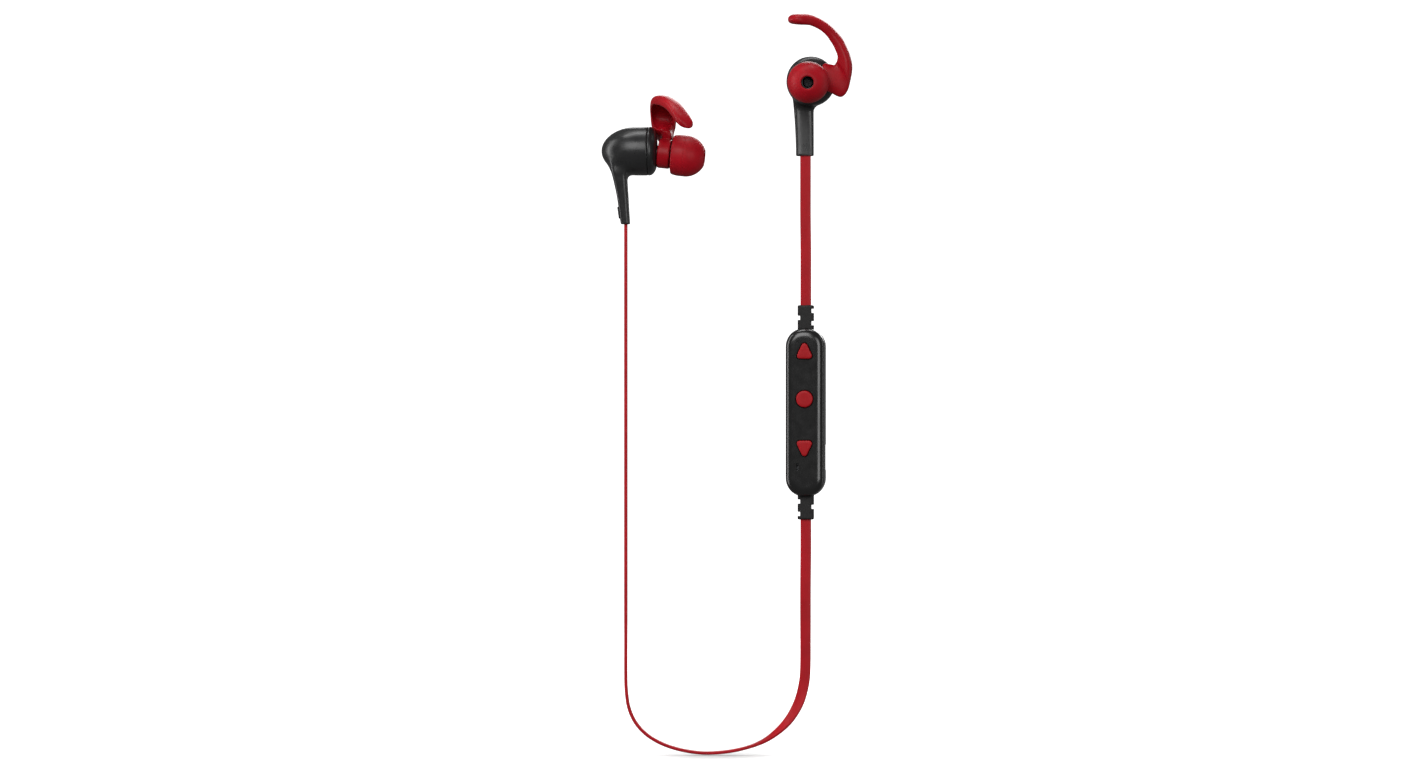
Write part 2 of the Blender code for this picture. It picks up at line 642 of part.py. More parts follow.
def remote_shell(name, remote, keep_front):
    """Half of the remote's case: the rounded block, cut at the seam and hollowed."""
    outline = rounded_outline(REMOTE_WIDTH, REMOTE_LENGTH, REMOTE_CORNER, CORNER_STEPS)
    shell = place(outline_mesh(name, outline, REMOTE_DEPTH), name, remote,
                  rotation=FACING_FRONT, finish="remote")
    bevel = shell.modifiers.new("edge", "BEVEL")
    bevel.width = REMOTE_BEVEL
    bevel.segments = 3
    bevel.limit_method = "ANGLE"
    bevel.angle_limit = math.radians(60)
    side = -1 if keep_front else 1
    half = place(block_mesh(f"{name}_half_form", (0.02, 0.02, 0.06)), f"{name}_half_form", remote,
                 location=(0, -side * (0.01 - GAP / 2), 0))
    hollow_outline = rounded_outline(REMOTE_WIDTH - 2 * REMOTE_WALL, REMOTE_LENGTH - 2 * REMOTE_WALL,
                                     REMOTE_CORNER - REMOTE_WALL, 5)
    hollow = place(outline_mesh(f"{name}_hollow_form", hollow_outline,
                                REMOTE_DEPTH - 2 * REMOTE_WALL),
                   f"{name}_hollow_form", remote, rotation=FACING_FRONT)
    combine(shell, half, "DIFFERENCE")
    combine(shell, hollow, "DIFFERENCE")
    for end in (-1, 1):
        slot = place(block_mesh(f"{name}_slot_form_{end}",
                                (RELIEF_NECK[0] + 2 * GAP, RELIEF_NECK[1] + 2 * GAP,
                                 RELIEF_SLOT_DEPTH)),
                     f"{name}_slot_form_{end}", remote, location=(0, 0, end * REMOTE_LENGTH / 2))
        combine(shell, slot, "DIFFERENCE")
    return shell


def add_covers(remote):
    front = remote_shell("remote_front_cover", remote, keep_front=True)
    front_face = -REMOTE_DEPTH / 2
    for name, z, outline in BUTTONS:
        hole = place(outline_mesh(f"{name}_hole_form", outline(GAP), CUTTER_DEPTH),
                     f"{name}_hole_form", remote, location=(0, front_face, z),
                     rotation=FACING_FRONT)
        combine(front, hole, "DIFFERENCE")
    slit = place(block_mesh("slit_form", (LIGHT_SLIT[0], CUTTER_DEPTH, LIGHT_SLIT[1])), "slit_form",
                 remote, location=(LIGHT_X, front_face, LIGHT_Z))
    combine(front, slit, "DIFFERENCE")
    port = place(cylinder_mesh("port_form", MICROPHONE_PORT, CUTTER_DEPTH, 12), "port_form", remote,
                 location=(-REMOTE_WIDTH / 2, PORT_Y, PORT_Z), rotation=(0, math.pi / 2, 0))
    combine(front, port, "DIFFERENCE")
    back = remote_shell("remote_back_cover", remote, keep_front=False)
    window = place(block_mesh("window_form", (CUTTER_DEPTH, SOCKET_SIZE[1] + 2 * GAP,
                                              SOCKET_SIZE[2] + 2 * GAP), bevel=WINDOW_CORNER),
                   "window_form", remote, location=(REMOTE_WIDTH / 2, SOCKET_Y, SOCKET_Z))
    combine(back, window, "DIFFERENCE")


def round_outline(extra):
    radius = BUTTON_SIZE / 2 + extra
    return [(radius * math.cos(2 * math.pi * i / 24), radius * math.sin(2 * math.pi * i / 24))
            for i in range(24)]


def up_outline(extra):
    return rounded_triangle(TRIANGLE_CORNER + extra, True)


def down_outline(extra):
    return rounded_triangle(TRIANGLE_CORNER + extra, False)


BUTTONS = (
    ("volume_up_button", VOLUME_UP_Z, up_outline),
    ("multifunction_button", MULTIFUNCTION_Z, round_outline),
    ("volume_down_button", VOLUME_DOWN_Z, down_outline),
)


def add_buttons(remote):
    """Each button: a cap through the front cover, a flange behind it and a nub over its switch."""
    face = -REMOTE_DEPTH / 2 - BUTTON_PROUD
    flange_front = -REMOTE_DEPTH / 2 + REMOTE_WALL + GAP
    flange_back = flange_front + BUTTON_FLANGE
    cap_depth = flange_front + BUTTON_FLANGE / 2 - face
    for name, z, outline in BUTTONS:
        cap = place(outline_mesh(name, outline(0.0), cap_depth), name, remote,
                    location=(0, face + cap_depth / 2, z), rotation=FACING_FRONT, finish="button")
        flange = place(cylinder_mesh(f"{name}_flange_form", BUTTON_FLANGE_RADIUS, BUTTON_FLANGE),
                       f"{name}_flange_form", remote,
                       location=(0, (flange_front + flange_back) / 2, z), rotation=FACING_FRONT)
        nub = place(cylinder_mesh(f"{name}_nub_form", BUTTON_NUB_RADIUS, BUTTON_FLANGE + BUTTON_NUB,
                                  12),
                    f"{name}_nub_form", remote,
                    location=(0, flange_back + (BUTTON_NUB - BUTTON_FLANGE) / 2, z),
                    rotation=FACING_FRONT)
        combine(cap, flange, "UNION")
        combine(cap, nub, "UNION")


def add_electronics(remote):
    place(block_mesh("circuit_board", BOARD_SIZE), "circuit_board", remote,
          location=(0, BOARD_Y, 0), finish="board")
    for name, z, _ in BUTTONS:
        label = name.replace("_button", "_switch")
        place(block_mesh(label, SWITCH_SIZE), label, remote, location=(0, SWITCH_Y, z),
              finish="steel")
    place(block_mesh("battery_cell", BATTERY_SIZE, bevel=0.0003), "battery_cell", remote,
          location=(0, BOARD_BACK + GAP + BATTERY_SIZE[1] / 2, BATTERY_Z), finish="cell")
    place(block_mesh("wireless_module", MODULE_SIZE), "wireless_module", remote,
          location=(0, BOARD_FRONT - GAP - MODULE_SIZE[1] / 2, MODULE_Z), finish="chip")
    place(block_mesh("microphone", MICROPHONE_SIZE), "microphone", remote,
          location=(MICROPHONE_X, BOARD_FRONT - GAP - MICROPHONE_SIZE[1] / 2, MICROPHONE_Z),
          finish="steel")
    place(block_mesh("indicator_light", LIGHT_SIZE), "indicator_light", remote,
          location=(LIGHT_X, BOARD_FRONT - GAP - LIGHT_SIZE[1] / 2, LIGHT_Z), finish="lens")
    socket_x = REMOTE_WIDTH / 2 - SOCKET_RECESS - SOCKET_SIZE[0] / 2
    socket = place(block_mesh("charging_socket", SOCKET_SIZE), "charging_socket", remote,
                   location=(socket_x, SOCKET_Y, SOCKET_Z), finish="steel")
    hollow = place(block_mesh("socket_hollow_form",
                              (SOCKET_SIZE[0], SOCKET_SIZE[1] - 2 * SOCKET_SHELL,
                               SOCKET_SIZE[2] - 2 * SOCKET_SHELL)),
                   "socket_hollow_form", remote, location=(socket_x + SOCKET_FLOOR, SOCKET_Y, SOCKET_Z))
    combine(socket, hollow, "DIFFERENCE")


def add_strain_relief(name, remote, end):
    """A notched rubber sleeve beyond one end of the remote, held by a flange inside."""
    frame = new_empty(f"{name}_frame", (0, 0, end * REMOTE_LENGTH / 2),
                      (0, 0 if end > 0 else math.pi, 0), remote)
    body = place(block_mesh(name, (RELIEF_WIDTH, RELIEF_DEPTH, RELIEF_LENGTH), bevel=0.0004), name,
                 frame, location=(0, 0, GAP + RELIEF_LENGTH / 2), finish="rubber")
    neck = place(block_mesh(f"{name}_neck_form", (*RELIEF_NECK, RELIEF_FLANGE_INSET + NECK_OVERLAP)),
                 f"{name}_neck_form", frame,
                 location=(0, 0, (NECK_OVERLAP - RELIEF_FLANGE_INSET) / 2))
    flange = place(block_mesh(f"{name}_flange_form", RELIEF_FLANGE), f"{name}_flange_form", frame,
                   location=(0, 0, -RELIEF_FLANGE_INSET))
    combine(body, neck, "UNION")
    combine(body, flange, "UNION")
    for i, (sideways, height) in enumerate(NOTCHES):
        notch = place(block_mesh(f"{name}_notch_form_{i}",
                                 (2 * NOTCH_DEPTH, 2 * RELIEF_DEPTH, NOTCH_HEIGHT)),
                      f"{name}_notch_form_{i}", frame,
                      location=(sideways * RELIEF_WIDTH / 2, 0, height))
        combine(body, notch, "DIFFERENCE")


def add_remote():
    remote = new_empty("remote", REMOTE_AT, (0, 0, REMOTE_TURN))
    add_covers(remote)
    add_buttons(remote)
    add_electronics(remote)
    add_strain_relief("upper_strain_relief", remote, 1)
    add_strain_relief("lower_strain_relief", remote, -1)


# ---------------------------------------------------------------- cable

def even_points(route, count):
    """Points at even spacing on a smooth curve through the route."""
    fine = [Vector(row) for row in smooth_between(route, 16)]
    lengths = [0.0]
    for a, b in zip(fine, fine[1:]):
        lengths.append(lengths[-1] + (b - a).length)
    points = []
    k = 0
    for i in range(count):
        target = lengths[-1] * i / (count - 1)
        while k < len(fine) - 2 and lengths[k + 1] < target:
            k += 1
        share = (target - lengths[k]) / (lengths[k + 1] - lengths[k])
        points.append((fine[k].lerp(fine[k + 1], share), target))
    return points


def smooth_step(value, low, high):
    t = min(max((value - low) / (high - low), 0.0), 1.0)
    return t * t * (3 - 2 * t)


def add_ribbon(name, route, count, turn_at):
    """A flat cable: a round-edged strip along a curve, turned about it by turn_at(length).

    The curve lies in its own XY plane, where a turn of 0 sets the strip's width square to that
    plane, and the object stands the plane upright.
    """
    curve = bpy.data.curves.new(name, "CURVE")
    curve.dimensions = "3D"
    curve.twist_mode = "Z_UP"
    curve.fill_mode = "FULL"
    curve.bevel_depth = RIBBON_THICKNESS / 2
    curve.bevel_resolution = 2
    curve.extrude = (RIBBON_WIDTH - RIBBON_THICKNESS) / 2
    curve.use_fill_caps = True
    curve.render_resolution_u = 0
    spline = curve.splines.new("POLY")
    points = even_points(route, count)
    spline.points.add(count - 1)
    for point, (place_at, along) in zip(spline.points, points):
        point.co = (place_at.x, place_at.y, 0.0, 1.0)
        point.tilt = turn_at(along)
    place(curve, name, None, location=(0, CABLE_Y, 0), rotation=FACING_FRONT, finish="ribbon")


def long_ribbon_turn(along):
    """Broadside to the front beside the remote, edge-on up the left side."""
    return BROADSIDE * (1 - smooth_step(along, TWIST_START, TWIST_END))


def add_cables():
    add_ribbon("long_cable", LOOP_ROUTE, RIBBON_POINTS, long_ribbon_turn)
    add_ribbon("short_cable", SHORT_ROUTE, SHORT_RIBBON_POINTS, lambda along: BROADSIDE)


clear_scene()
PARTS = new_collection(NAME)
CUTTERS = new_collection(f"{NAME}_cutters")
add_earbud("right", RIGHT_STEM_END, RIGHT_TURN, RIGHT_HOOK_TURN, RIGHT_HOOK_LEAN)
add_earbud("left", LEFT_STEM_END, LEFT_TURN, LEFT_HOOK_TURN, LEFT_HOOK_LEAN)
add_remote()
add_cables()
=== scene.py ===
"""The look of the neckband earphones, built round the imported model.

Lengths are in metres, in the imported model's frame: the origin is the middle of the right ear tip's
mouth, +Z is up and the remote's buttons face -Y.
"""

import math

import bmesh
import bpy
import numpy as np
from mathutils import Matrix, Vector


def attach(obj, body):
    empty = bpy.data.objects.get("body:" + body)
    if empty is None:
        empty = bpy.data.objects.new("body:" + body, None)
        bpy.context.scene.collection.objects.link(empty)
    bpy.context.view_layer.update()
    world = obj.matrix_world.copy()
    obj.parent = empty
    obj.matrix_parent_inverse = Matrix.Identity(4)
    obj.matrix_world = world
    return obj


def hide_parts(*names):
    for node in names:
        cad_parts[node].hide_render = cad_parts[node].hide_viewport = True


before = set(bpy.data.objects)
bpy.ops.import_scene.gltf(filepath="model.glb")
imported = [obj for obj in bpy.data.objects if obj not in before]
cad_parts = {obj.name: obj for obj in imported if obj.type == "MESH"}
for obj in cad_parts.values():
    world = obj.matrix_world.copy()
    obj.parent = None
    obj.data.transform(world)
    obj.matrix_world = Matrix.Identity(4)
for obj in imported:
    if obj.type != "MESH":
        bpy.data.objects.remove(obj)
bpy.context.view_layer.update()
scene = bpy.context.scene

# ---- Camera: a long lens, level, square to the plane that the cable hangs in
CABLE_Y = 0.0226
VIEW_CENTRE = (-0.0309, -0.0897)
VIEW_WIDTH = 0.4221
LENS_MM = 300
SENSOR_MM = 36.0

# ---- Cables
RIBBON_WIDTH = 0.0032
RIBBON_THICKNESS = 0.0011
RIBBON_TUCK = 0.0006       # how far an end goes into what it meets
RIBBON_SIDES = 32
RIBBON_SQUARENESS = 0.42   # 1 would make the section an ellipse, and 0 a rectangle
RIBBON_CROWN = 0.10        # the share by which it is thinner at its edges
# Routes, as x and z: from the remote's lower strain relief round the loop to the left earbud, and
# from the right earbud to the remote's upper strain relief.
LOOP_ROUTE = (
    (-0.0002, -0.1310), (-0.0002, -0.1400), (-0.0003, -0.1520), (-0.0003, -0.1640),
    (-0.0003, -0.1730), (-0.0005, -0.1782), (-0.0011, -0.1818), (-0.0021, -0.1853),
    (-0.0038, -0.1888), (-0.0060, -0.1919), (-0.0089, -0.1947), (-0.0123, -0.1971),
    (-0.0164, -0.1989), (-0.0209, -0.2001), (-0.0257, -0.2008), (-0.0305, -0.2010),
    (-0.0353, -0.2005), (-0.0401, -0.1994), (-0.0446, -0.1976), (-0.0485, -0.1950),
    (-0.0515, -0.1915), (-0.0533, -0.1873), (-0.0540, -0.1827), (-0.0542, -0.1779),
    (-0.0542, -0.1650), (-0.0542, -0.1450), (-0.0542, -0.1250), (-0.0542, -0.1050),
    (-0.0542, -0.0850), (-0.0542, -0.0650), (-0.0542, -0.0500), (-0.0542, -0.0427),
)
TWIST_START = 0.043        # along the cable from the strain relief
TWIST_END = 0.079
SHORT_ROUTE = (
    (-0.0003, -0.0222), (-0.0003, -0.0300), (-0.0003, -0.0400), (-0.0002, -0.0500),
    (-0.0002, -0.0600), (-0.0002, -0.0666),
)

# ---- Earbud, in its own frame: the cable leaves at the origin and the nozzle points to -Y
HOUSING_X = 0.0016
HOUSING_Z = 0.0220
HOUSING_RADIUS = 0.00735
HOUSING_WALL = 0.0012
HOUSING_BACK = -0.0074     # these four are distances ahead of the cable
HOUSING_WIDEST = 0.0036
HOUSING_SEAM = 0.0066
HOUSING_FRONT = 0.0093
SEAM_GAP = 0.00007
FRONT_CORNER_WIDTH = 0.0038
FRONT_CORNER_DEPTH = 0.0024
FRONT_CORNER_STEPS = 12
RIM_DRAFT = 0.00002
FRONT_WALL = 0.0012        # at the middle of the front cover, and at its edge
FRONT_EDGE_WALL = 0.0026
SPIGOT_GAP = 0.0001
SPIGOT_WALL = 0.0009
SPIGOT_LENGTH = 0.0020
VENT_SIZE = (0.0015, 0.0006, 0.0004)
VENT_BEVEL = 0.00012
VENT_PROUD = 0.00006
VENT_AHEAD = 0.0060
VENT_TURN = math.radians(24)
DOME_POWER = 2.0
STEM_POWER = 4.0
STEM_FADE_START = 0.0150   # above this height the stem draws in, to end inside the dome
STEM_FADE = 75.0
STEM_BLEND = 0.0020
SEAM_ROUNDING = 0.0004
STEM_END_ROUNDING = 0.0003
CAVITY_ROUNDING = 0.0002
SHELL_LOW = (-0.0064, -0.0072, -0.0006)   # a box that holds the rear shell
SHELL_HIGH = (0.0096, 0.0080, 0.0302)
SHELL_STEP = 0.00028
# Stem sections: height, back and front (ahead of the cable), left and right.
STEM_SECTIONS = (
    (0.0000, -0.00145, 0.00130, -0.00285, 0.0025),
    (0.0030, -0.00190, 0.00110, -0.00290, 0.0025),
    (0.0084, -0.00265, 0.00080, -0.00310, 0.0025),
    (0.0137, -0.00380, 0.00050, -0.00345, 0.0025),
    (0.0165, -0.00460, 0.00060, -0.00370, 0.0026),
    (0.0190, -0.00530, 0.00150, -0.00350, 0.0026),
)
NOZZLE_SHIFT = (-0.0005, -0.0006)
NOZZLE_SIDE_TILT = math.radians(3)
NOZZLE_DROP = math.radians(6)
NOZZLE_RADIUS = 0.0023
NOZZLE_BORE = 0.0016
NOZZLE_LENGTH = 0.0108
NOZZLE_ROOT = 0.0006       # how far it goes back into the front cover
BARB_RADIUS = 0.0026
BARB_LENGTH = 0.0016

# Distances along the nozzle start at the face of the front cover.
RING_START = 0.0004
RING_END = 0.0042
RING_RADIUS = 0.0044
RING_BORE = 0.0025
# Blade sections about the nozzle: inner edge x, z; outer edge x, z; how far ahead of the ring's
# middle; half depth; and how deep the gutter in the inner face is.
BLADE_SECTIONS = (
    (0.00315, 0.0018, 0.00315, -0.0018, -0.0001, 0.00180, 0.0000),
    (0.0043, 0.0054, 0.0058, -0.0029, 0.0001, 0.00170, 0.0000),
    (0.0060, 0.0057, 0.0098, -0.0045, -0.0005, 0.00210, 0.0004),
    (0.0069, 0.0066, 0.0120, -0.0008, -0.0017, 0.00350, 0.0022),
    (0.0075, 0.0082, 0.0129, 0.0054, -0.0020, 0.00395, 0.0034),
    (0.0066, 0.0106, 0.0107, 0.0119, -0.0019, 0.00400, 0.0030),
    (0.0049, 0.0130, 0.0079, 0.0156, -0.0012, 0.00390, 0.0022),
    (0.0027, 0.0150, 0.0046, 0.0184, 0.0007, 0.00350, 0.0012),
    (-0.0002, 0.0165, 0.0007, 0.0202, 0.0032, 0.00310, 0.0006),
    (-0.0029, 0.0170, -0.0026, 0.0205, 0.0058, 0.00310, 0.0002),
    (-0.0043, 0.0175, -0.0043, 0.0201, 0.0072, 0.00250, 0.0000),
    (-0.0052, 0.0183, -0.0052, 0.0190, 0.0080, 0.00080, 0.0000),
)
BLADE_POWER = 2.6
BLADE_SIDES = 48
GUTTER_SHARE = 0.84        # how much of the inner face's width the gutter takes up
HANG_EASE = 0.0015         # how gently the blade starts to hang, ahead of the ring
HOOK_VOXEL = 0.00016
HOOK_SMOOTHING = 9

TIP_START = 0.0046
TIP_END = 0.0149
TIP_RADIUS = 0.0062
TIP_MOUTH = 0.0019
TIP_SKIN = 0.0008
PARTING_DEPTH = 0.00006
SLEEVE_BORE = 0.0029
SLEEVE_RADIUS = 0.0037
SLEEVE_END = 0.0118

RIGHT_STEM_END = (-0.0003, CABLE_Y, -0.0219)
RIGHT_LEAN = math.radians(-4)
LEFT_STEM_END = (-0.0542, CABLE_Y, -0.0424)
LEFT_TURN = math.radians(87)
RIGHT_BUD = Matrix.Translation(RIGHT_STEM_END) @ Matrix.Rotation(RIGHT_LEAN, 4, "X")
LEFT_BUD = Matrix.Translation(LEFT_STEM_END) @ Matrix.Rotation(LEFT_TURN, 4, "Z")
LEFT_HOOK_TURN = math.radians(-36)
LEFT_HOOK_HANG = 0.45
# Each earbud: its place, how its hook is turned about the nozzle, and how far the soft hook hangs
# for each unit that it reaches ahead.
EARBUDS = (("right", RIGHT_BUD, 0.0, 0.0), ("left", LEFT_BUD, LEFT_HOOK_TURN, LEFT_HOOK_HANG))

# ---- Remote, in its own frame: its middle is the origin and the buttons face -Y
REMOTE_MIDDLE = (-0.0002, CABLE_Y, -0.0988)
REMOTE_TURN = math.radians(-6)
REMOTE = Matrix.Translation(REMOTE_MIDDLE) @ Matrix.Rotation(REMOTE_TURN, 4, "Z")
REMOTE_WIDTH = 0.0117
REMOTE_LENGTH = 0.0505
REMOTE_DEPTH = 0.0090
REMOTE_CORNER = 0.0055
REMOTE_WALL = 0.0012
EDGE_WIDTH = 0.0030        # how far in from the side the face starts to fall away
EDGE_DEPTH = 0.0024
EDGE_POWER = 2.4
EDGE_STEPS = 10
EDGE_NARROWING = 0.4       # shares of the wall by which the inside's edge is smaller
EDGE_SHALLOWING = 0.2
COVER_SEAM = 0.00008       # half the gap between the covers
COVER_BEVEL_WIDTH = 0.00012
COVER_BEVEL_DEPTH = 0.0001
BUTTON_SIZE = 0.0050
BUTTON_PROUD = 0.0003
BUTTON_DEPTH = 0.0018
BUTTON_EDGE_WIDTH = 0.00045
BUTTON_EDGE_DEPTH = 0.0003
BUTTON_CROWN = 0.00003
BUTTON_STEPS = 6
# A button's opening: how much wider than the button it is, at a height above the cover's face.
OPENING_ROWS = (
    (0.00013, -0.0030), (0.00013, -0.00022), (0.00018, -0.0001), (0.00030, -0.00001),
    (0.0006, 0.0003),
)
TRIANGLE_CORNER = 0.0009
TRIANGLE_FOOT = 0.00135    # from the middle line to the centre of a foot's corner
TRIANGLE_RISE = 0.00142
VOLUME_UP_Z = 0.0184
MULTIFUNCTION_Z = 0.0040
VOLUME_DOWN_Z = -0.0108
LIGHT_X = -0.0021
LIGHT_Z = -0.0163
LIGHT_SLIT = (0.0006, 0.0021, 0.004)
LIGHT_BEVEL = 0.00015
PORT_RADIUS = 0.0005       # the microphone's hole, in the left side of the front cover
PORT_REACH = 0.0020
PORT_Z = -0.0175
PORT_AHEAD = 0.0014
SOCKET_Y = 0.0017          # the charging socket's opening, in the right side of the back cover
SOCKET_Z = -0.0135
SOCKET_OPENING = (0.0040, 0.0080, 0.0030)
SOCKET_CORNER = 0.0006
RELIEF_WIDTH = 0.0048
RELIEF_DEPTH = 0.0030
RELIEF_LENGTH = 0.0066
RELIEF_OVERRUN = 0.0003    # how far it goes past that length along the cable
RELIEF_TUCK = 0.0012       # how far it goes into the rounded end of the remote
RELIEF_CORNER = 0.0007
RELIEF_END_CORNER = 0.0005
NOTCH_FLOOR = 0.0016
NOTCH_HEIGHT = 0.00124
NOTCH_CORNER = 0.00018
NOTCHES = ((1, 0.0052), (-1, 0.0031), (1, 0.0015))   # side, height above the remote's end
RELIEF_LOW = (-0.0028, -0.0019, -0.0018)             # a box that holds the strain relief
RELIEF_HIGH = (0.0028, 0.0019, 0.0075)
RELIEF_STEP = 0.00017

UPRIGHT = Matrix.Rotation(math.pi / 2, 4, "X")      # turns local +Z to -Y

# ---- Stage: the floor's own light is weaker near the object, and weakest where the loop meets it, as a painted contact shadow
FLOOR_GAP = 0.0002
BOWL_FLAT = 4.6
BOWL_BEND = 1.2
BOWL_HEIGHT = 3.4
BOWL_SIDES = 64
BOWL_BEND_STEPS = 16
BOWL_FLAT_STEPS = 6
GLOW_START = 0.30          # the light grows between these distances from the middle
GLOW_END = 0.90
GLOW_NEAR = 0.50
GLOW_FAR = 1.20
# A painted contact shadow where the loop meets the floor: the glow at its darkest, the x of its
# middle and its spread
PAINTED_SHADOW_GLOW = 0.02
PAINTED_SHADOW_X = -0.0275
PAINTED_SHADOW_SPREAD = (0.048, 0.110)

WORLD_STRENGTH = 0.16
LIGHTS_TARGET = (-0.03, 0.02, -0.09)
LIGHTS = (   # name, place, width and height, watts
    ("top", (-0.1, 0.15, 1.6), (1.6, 0.4), 15),
    ("left_strip", (-1.2, -0.05, 0.15), (0.35, 1.6), 10),
    ("right_strip", (1.2, 0.25, 0.1), (0.15, 1.6), 2.2),
    ("key", (-0.55, -1.5, 0.75), (1.0, 1.0), 17),
    ("fill", (0.75, -1.5, 0.15), (0.7, 0.9), 9),
    ("back", (0.3, 1.6, 0.6), (1.0, 1.0), 12),
)

# Scales of noise, per metre: colour drift, uneven gloss, drawn lines, mesh holes, floor paper.
DRIFT_SCALE = 160
SMUDGE_SCALE = 420
LINES_SCALE = 2600
HOLES_SCALE = 4200
PAPER_SCALE = 3


# ---------------------------------------------------------------- materials

def shader_nodes(name, base, roughness, metallic=0.0, **sockets):
    """A Principled material, with its node tree and its shader."""
    material = bpy.data.materials.new(name)
    material.use_nodes = True
    tree = material.node_tree
    shader = tree.nodes["Principled BSDF"]
    shader.inputs["Base Color"].default_value = (*base, 1.0)
    shader.inputs["Roughness"].default_value = roughness
    shader.inputs["Metallic"].default_value = metallic
    for socket, value in sockets.items():
        shader.inputs[socket.replace("_", " ")].default_value = value
    return material, tree, shader


def noise(tree, scale, detail, stretch=(1.0, 1.0, 1.0)):
    """Noise in the object's own metres; returns its value socket."""
    coordinates = tree.nodes.new("ShaderNodeTexCoord")
    mapping = tree.nodes.new("ShaderNodeMapping")
    mapping.inputs["Scale"].default_value = stretch
    texture = tree.nodes.new("ShaderNodeTexNoise")
    texture.inputs["Scale"].default_value = scale
    texture.inputs["Detail"].default_value = detail
    tree.links.new(coordinates.outputs["Object"], mapping.inputs["Vector"])
    tree.links.new(mapping.outputs["Vector"], texture.inputs["Vector"])
    return texture.outputs["Fac"]


def ramp(tree, source, low, high, start=0.35, end=0.65):
    """The source spread between two colours."""
    node = tree.nodes.new("ShaderNodeValToRGB")
    node.color_ramp.elements[0].position = start
    node.color_ramp.elements[0].color = (*low, 1.0)
    node.color_ramp.elements[1].position = end
    node.color_ramp.elements[1].color = (*high, 1.0)
    tree.links.new(source, node.inputs["Fac"])
    return node.outputs["Color"]


def spread(tree, source, low, high):
    """The source spread between two numbers."""
    node = tree.nodes.new("ShaderNodeMapRange")
    node.inputs["From Min"].default_value = 0.3
    node.inputs["From Max"].default_value = 0.7
    node.inputs["To Min"].default_value = low
    node.inputs["To Max"].default_value = high
    tree.links.new(source, node.inputs["Value"])
    return node.outputs["Result"]


def bump(tree, shader, source, height):
    """Raises the shader's surface where the source is high."""
    node = tree.nodes.new("ShaderNodeBump")
    node.inputs["Distance"].default_value = height
    node.inputs["Strength"].default_value = 1.0
    tree.links.new(source, node.inputs["Height"])
    tree.links.new(node.outputs["Normal"], shader.inputs["Normal"])


def moulded(name, base, roughness, tint, grain_scale, grain_height, **sockets):
    """Moulded plastic or rubber: broad colour drift, smudged gloss and a fine skin."""
    material, tree, shader = shader_nodes(name, base, roughness, **sockets)
    darker = tuple(c * (1 - tint) for c in base)
    lighter = tuple(min(1.0, c * (1 + tint)) for c in base)
    drift = ramp(tree, noise(tree, DRIFT_SCALE, 2.0), darker, lighter)
    tree.links.new(drift, shader.inputs["Base Color"])
    smudge = spread(tree, noise(tree, SMUDGE_SCALE, 4.0), roughness * 0.85, roughness * 1.2)
    tree.links.new(smudge, shader.inputs["Roughness"])
    bump(tree, shader, noise(tree, grain_scale, 2.0), grain_height)
    return material


def metal(name, base, roughness, stretch=(1.0, 1.0, 1.0)):
    """Metal with fine drawn lines."""
    material, tree, shader = shader_nodes(name, base, roughness, 1.0)
    lines = noise(tree, LINES_SCALE, 3.0, stretch)
    darker = tuple(c * 0.8 for c in base)
    tree.links.new(ramp(tree, lines, darker, base), shader.inputs["Base Color"])
    gloss = spread(tree, lines, roughness * 0.8, roughness * 1.3)
    tree.links.new(gloss, shader.inputs["Roughness"])
    bump(tree, shader, lines, 0.00001)
    return material


def perforated(name):
    """Dark metal mesh: rows of round holes."""
    material, tree, shader = shader_nodes(name, (0.02, 0.02, 0.02), 0.45, 1.0)
    coordinates = tree.nodes.new("ShaderNodeTexCoord")
    cells = tree.nodes.new("ShaderNodeTexVoronoi")
    cells.inputs["Scale"].default_value = HOLES_SCALE
    cells.inputs["Randomness"].default_value = 0.0
    tree.links.new(coordinates.outputs["Object"], cells.inputs["Vector"])
    hole, wire = (0.002, 0.002, 0.002), (0.030, 0.030, 0.032)
    tone = ramp(tree, cells.outputs["Distance"], hole, wire, start=0.30, end=0.40)
    tree.links.new(tone, shader.inputs["Base Color"])
    bump(tree, shader, cells.outputs["Distance"], 0.00004)
    return material


